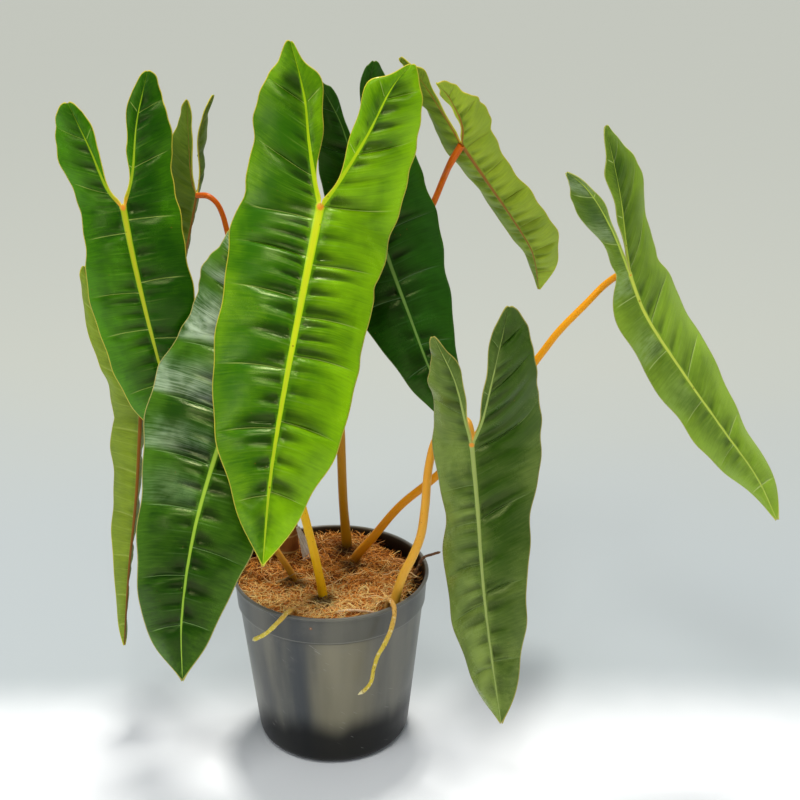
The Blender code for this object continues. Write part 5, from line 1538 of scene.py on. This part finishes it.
# the loose strands: how many there are, how they lie, and the shapes that they are picked from, in mm
looseForms = {
    "coir-fibres": {
        "count": coirForm["fibres"], "tilt": 0.45, "standOff": 4.0, "sizes": (0.7, 1.3),
        "seed": coirForm["seed"], "finish": ("coir-strand", *coirColors),
        "shapes": {"name": "fine", "count": 12, "length": (10, 20), "thick": (0.18, 0.32), "joints": 5,
                   "sides": 3, "curl": 1.0, "seed": 3},
    },
    "coir-long-fibres": {
        "count": coirForm["longFibres"], "tilt": 0.22, "standOff": 4.5, "sizes": (0.7, 1.1), "seed": 23,
        "finish": ("coir-pale-strand", paint(170, 106, 52), paint(236, 176, 110), paint(255, 228, 170)),
        "shapes": {"name": "long", "count": 8, "length": (30, 52), "thick": (0.28, 0.5), "joints": 14,
                   "sides": 4, "curl": 0.5, "seed": 5},
    },
    "coir-chips": {
        "count": coirForm["chips"], "tilt": 0.5, "standOff": 1.5, "sizes": (0.6, 1.2), "seed": 31,
        "finish": ("coir-chip", paint(88, 48, 22), paint(170, 104, 52), paint(214, 148, 84)),
        "shapes": {"name": "chip", "count": 6, "length": (5, 9), "thick": (1.0, 1.9), "joints": 3,
                   "sides": 5, "curl": 0.4, "seed": 9},
    },
}

coirTop = makeCoirBody()
area = math.pi * (coirForm["edge"] * mm) ** 2
for name, form in looseForms.items():
    strew(name, coirTop, strandKinds(**form["shapes"]), form["count"] / area, form["tilt"],
          form["standOff"],
          form["sizes"], form["seed"], coirFinish(*form["finish"]))
bpy.data.objects.remove(coirTop, do_unlink=True)
print("coir done")


def floorFinish():
    # a pale floor, greyer towards the back and painted near white towards the front as a painted pool of
    # sunlight
    material, wire, shader = newFinish("pale-floor", {"Specular IOR Level": 0.25})
    spot = wire.spot()
    cloud = spot.noise(3.0, 4.0)
    where = spot.axis("Y")
    color = (where + (cloud - 0.5) * 0.3).rise(1.2, 0.2)
    color = color.mix(paint(183, 186, 179), paint(174, 181, 184))
    color = (where + (cloud - 0.5) * 0.1).rise(0.1, -0.06).mix(color, paint(243, 245, 248))
    return feed(material, shader, color=color, roughness=0.72 + (cloud - 0.5) * 0.1)


floorHalf, floorDrop = 30, 0.0003
corners = [(x * floorHalf, y * floorHalf, -floorDrop) for x, y in ((-1, -1), (1, -1), (1, 1), (-1, 1))]
floor = newPiece("floor", corners, [(0, 1, 2, 3)], material=floorFinish(), smooth=False)


def addLight(name, kind, place, target, power, color, **form):
    data = bpy.data.lights.new(name, kind)
    data.energy = power
    data.color = color
    for label, value in form.items():
        setattr(data, label, value)
    lamp = bpy.data.objects.new(name, data)
    scene.collection.objects.link(lamp)
    lamp.location = place
    lamp.rotation_euler = (Vector(target) - Vector(place)).to_track_quat("-Z", "Y").to_euler()


addLight("mainLight", "SUN", (0.04, 0.29, 0.955), (0.0, 0.0, 0.0), 2.6, (1.0, 0.98, 0.92),
         angle=math.radians(10))
addLight("highLight", "AREA", (-0.3, -1.0, 2.3), (0.0, 0.0, 0.35), 17, (1.0, 1.0, 0.97),
         shape="RECTANGLE", size=0.8, size_y=0.5)
addLight("sideLight", "AREA", (-1.5, -1.35, 1.3), (0.0, 0.0, 0.4), 6, (0.97, 0.99, 1.0),
         shape="RECTANGLE", size=0.6, size_y=0.6)
world = bpy.data.worlds.new("studio")
scene.world = world
world.use_nodes = True
sky = world.node_tree.nodes["Background"].inputs
sky["Color"].default_value = (0.92, 0.96, 1.0, 1)
sky["Strength"].default_value = 0.38
scene.view_settings.view_transform = "Standard"

cameraForm = {"place": (0.067, -1.118, 0.791), "lookDown": 21.5, "lens": 58.5}
cameraData = bpy.data.cameras.new("camera")
cameraData.lens = cameraForm["lens"]
cameraData.sensor_width = 36
cameraData.clip_end = 100
camera = bpy.data.objects.new("camera", cameraData)
scene.collection.objects.link(camera)
camera.location = cameraForm["place"]
camera.rotation_euler = (math.radians(90 - cameraForm["lookDown"]), 0, 0)
scene.camera = camera

bpy.context.view_layer.update()
print("scene done")
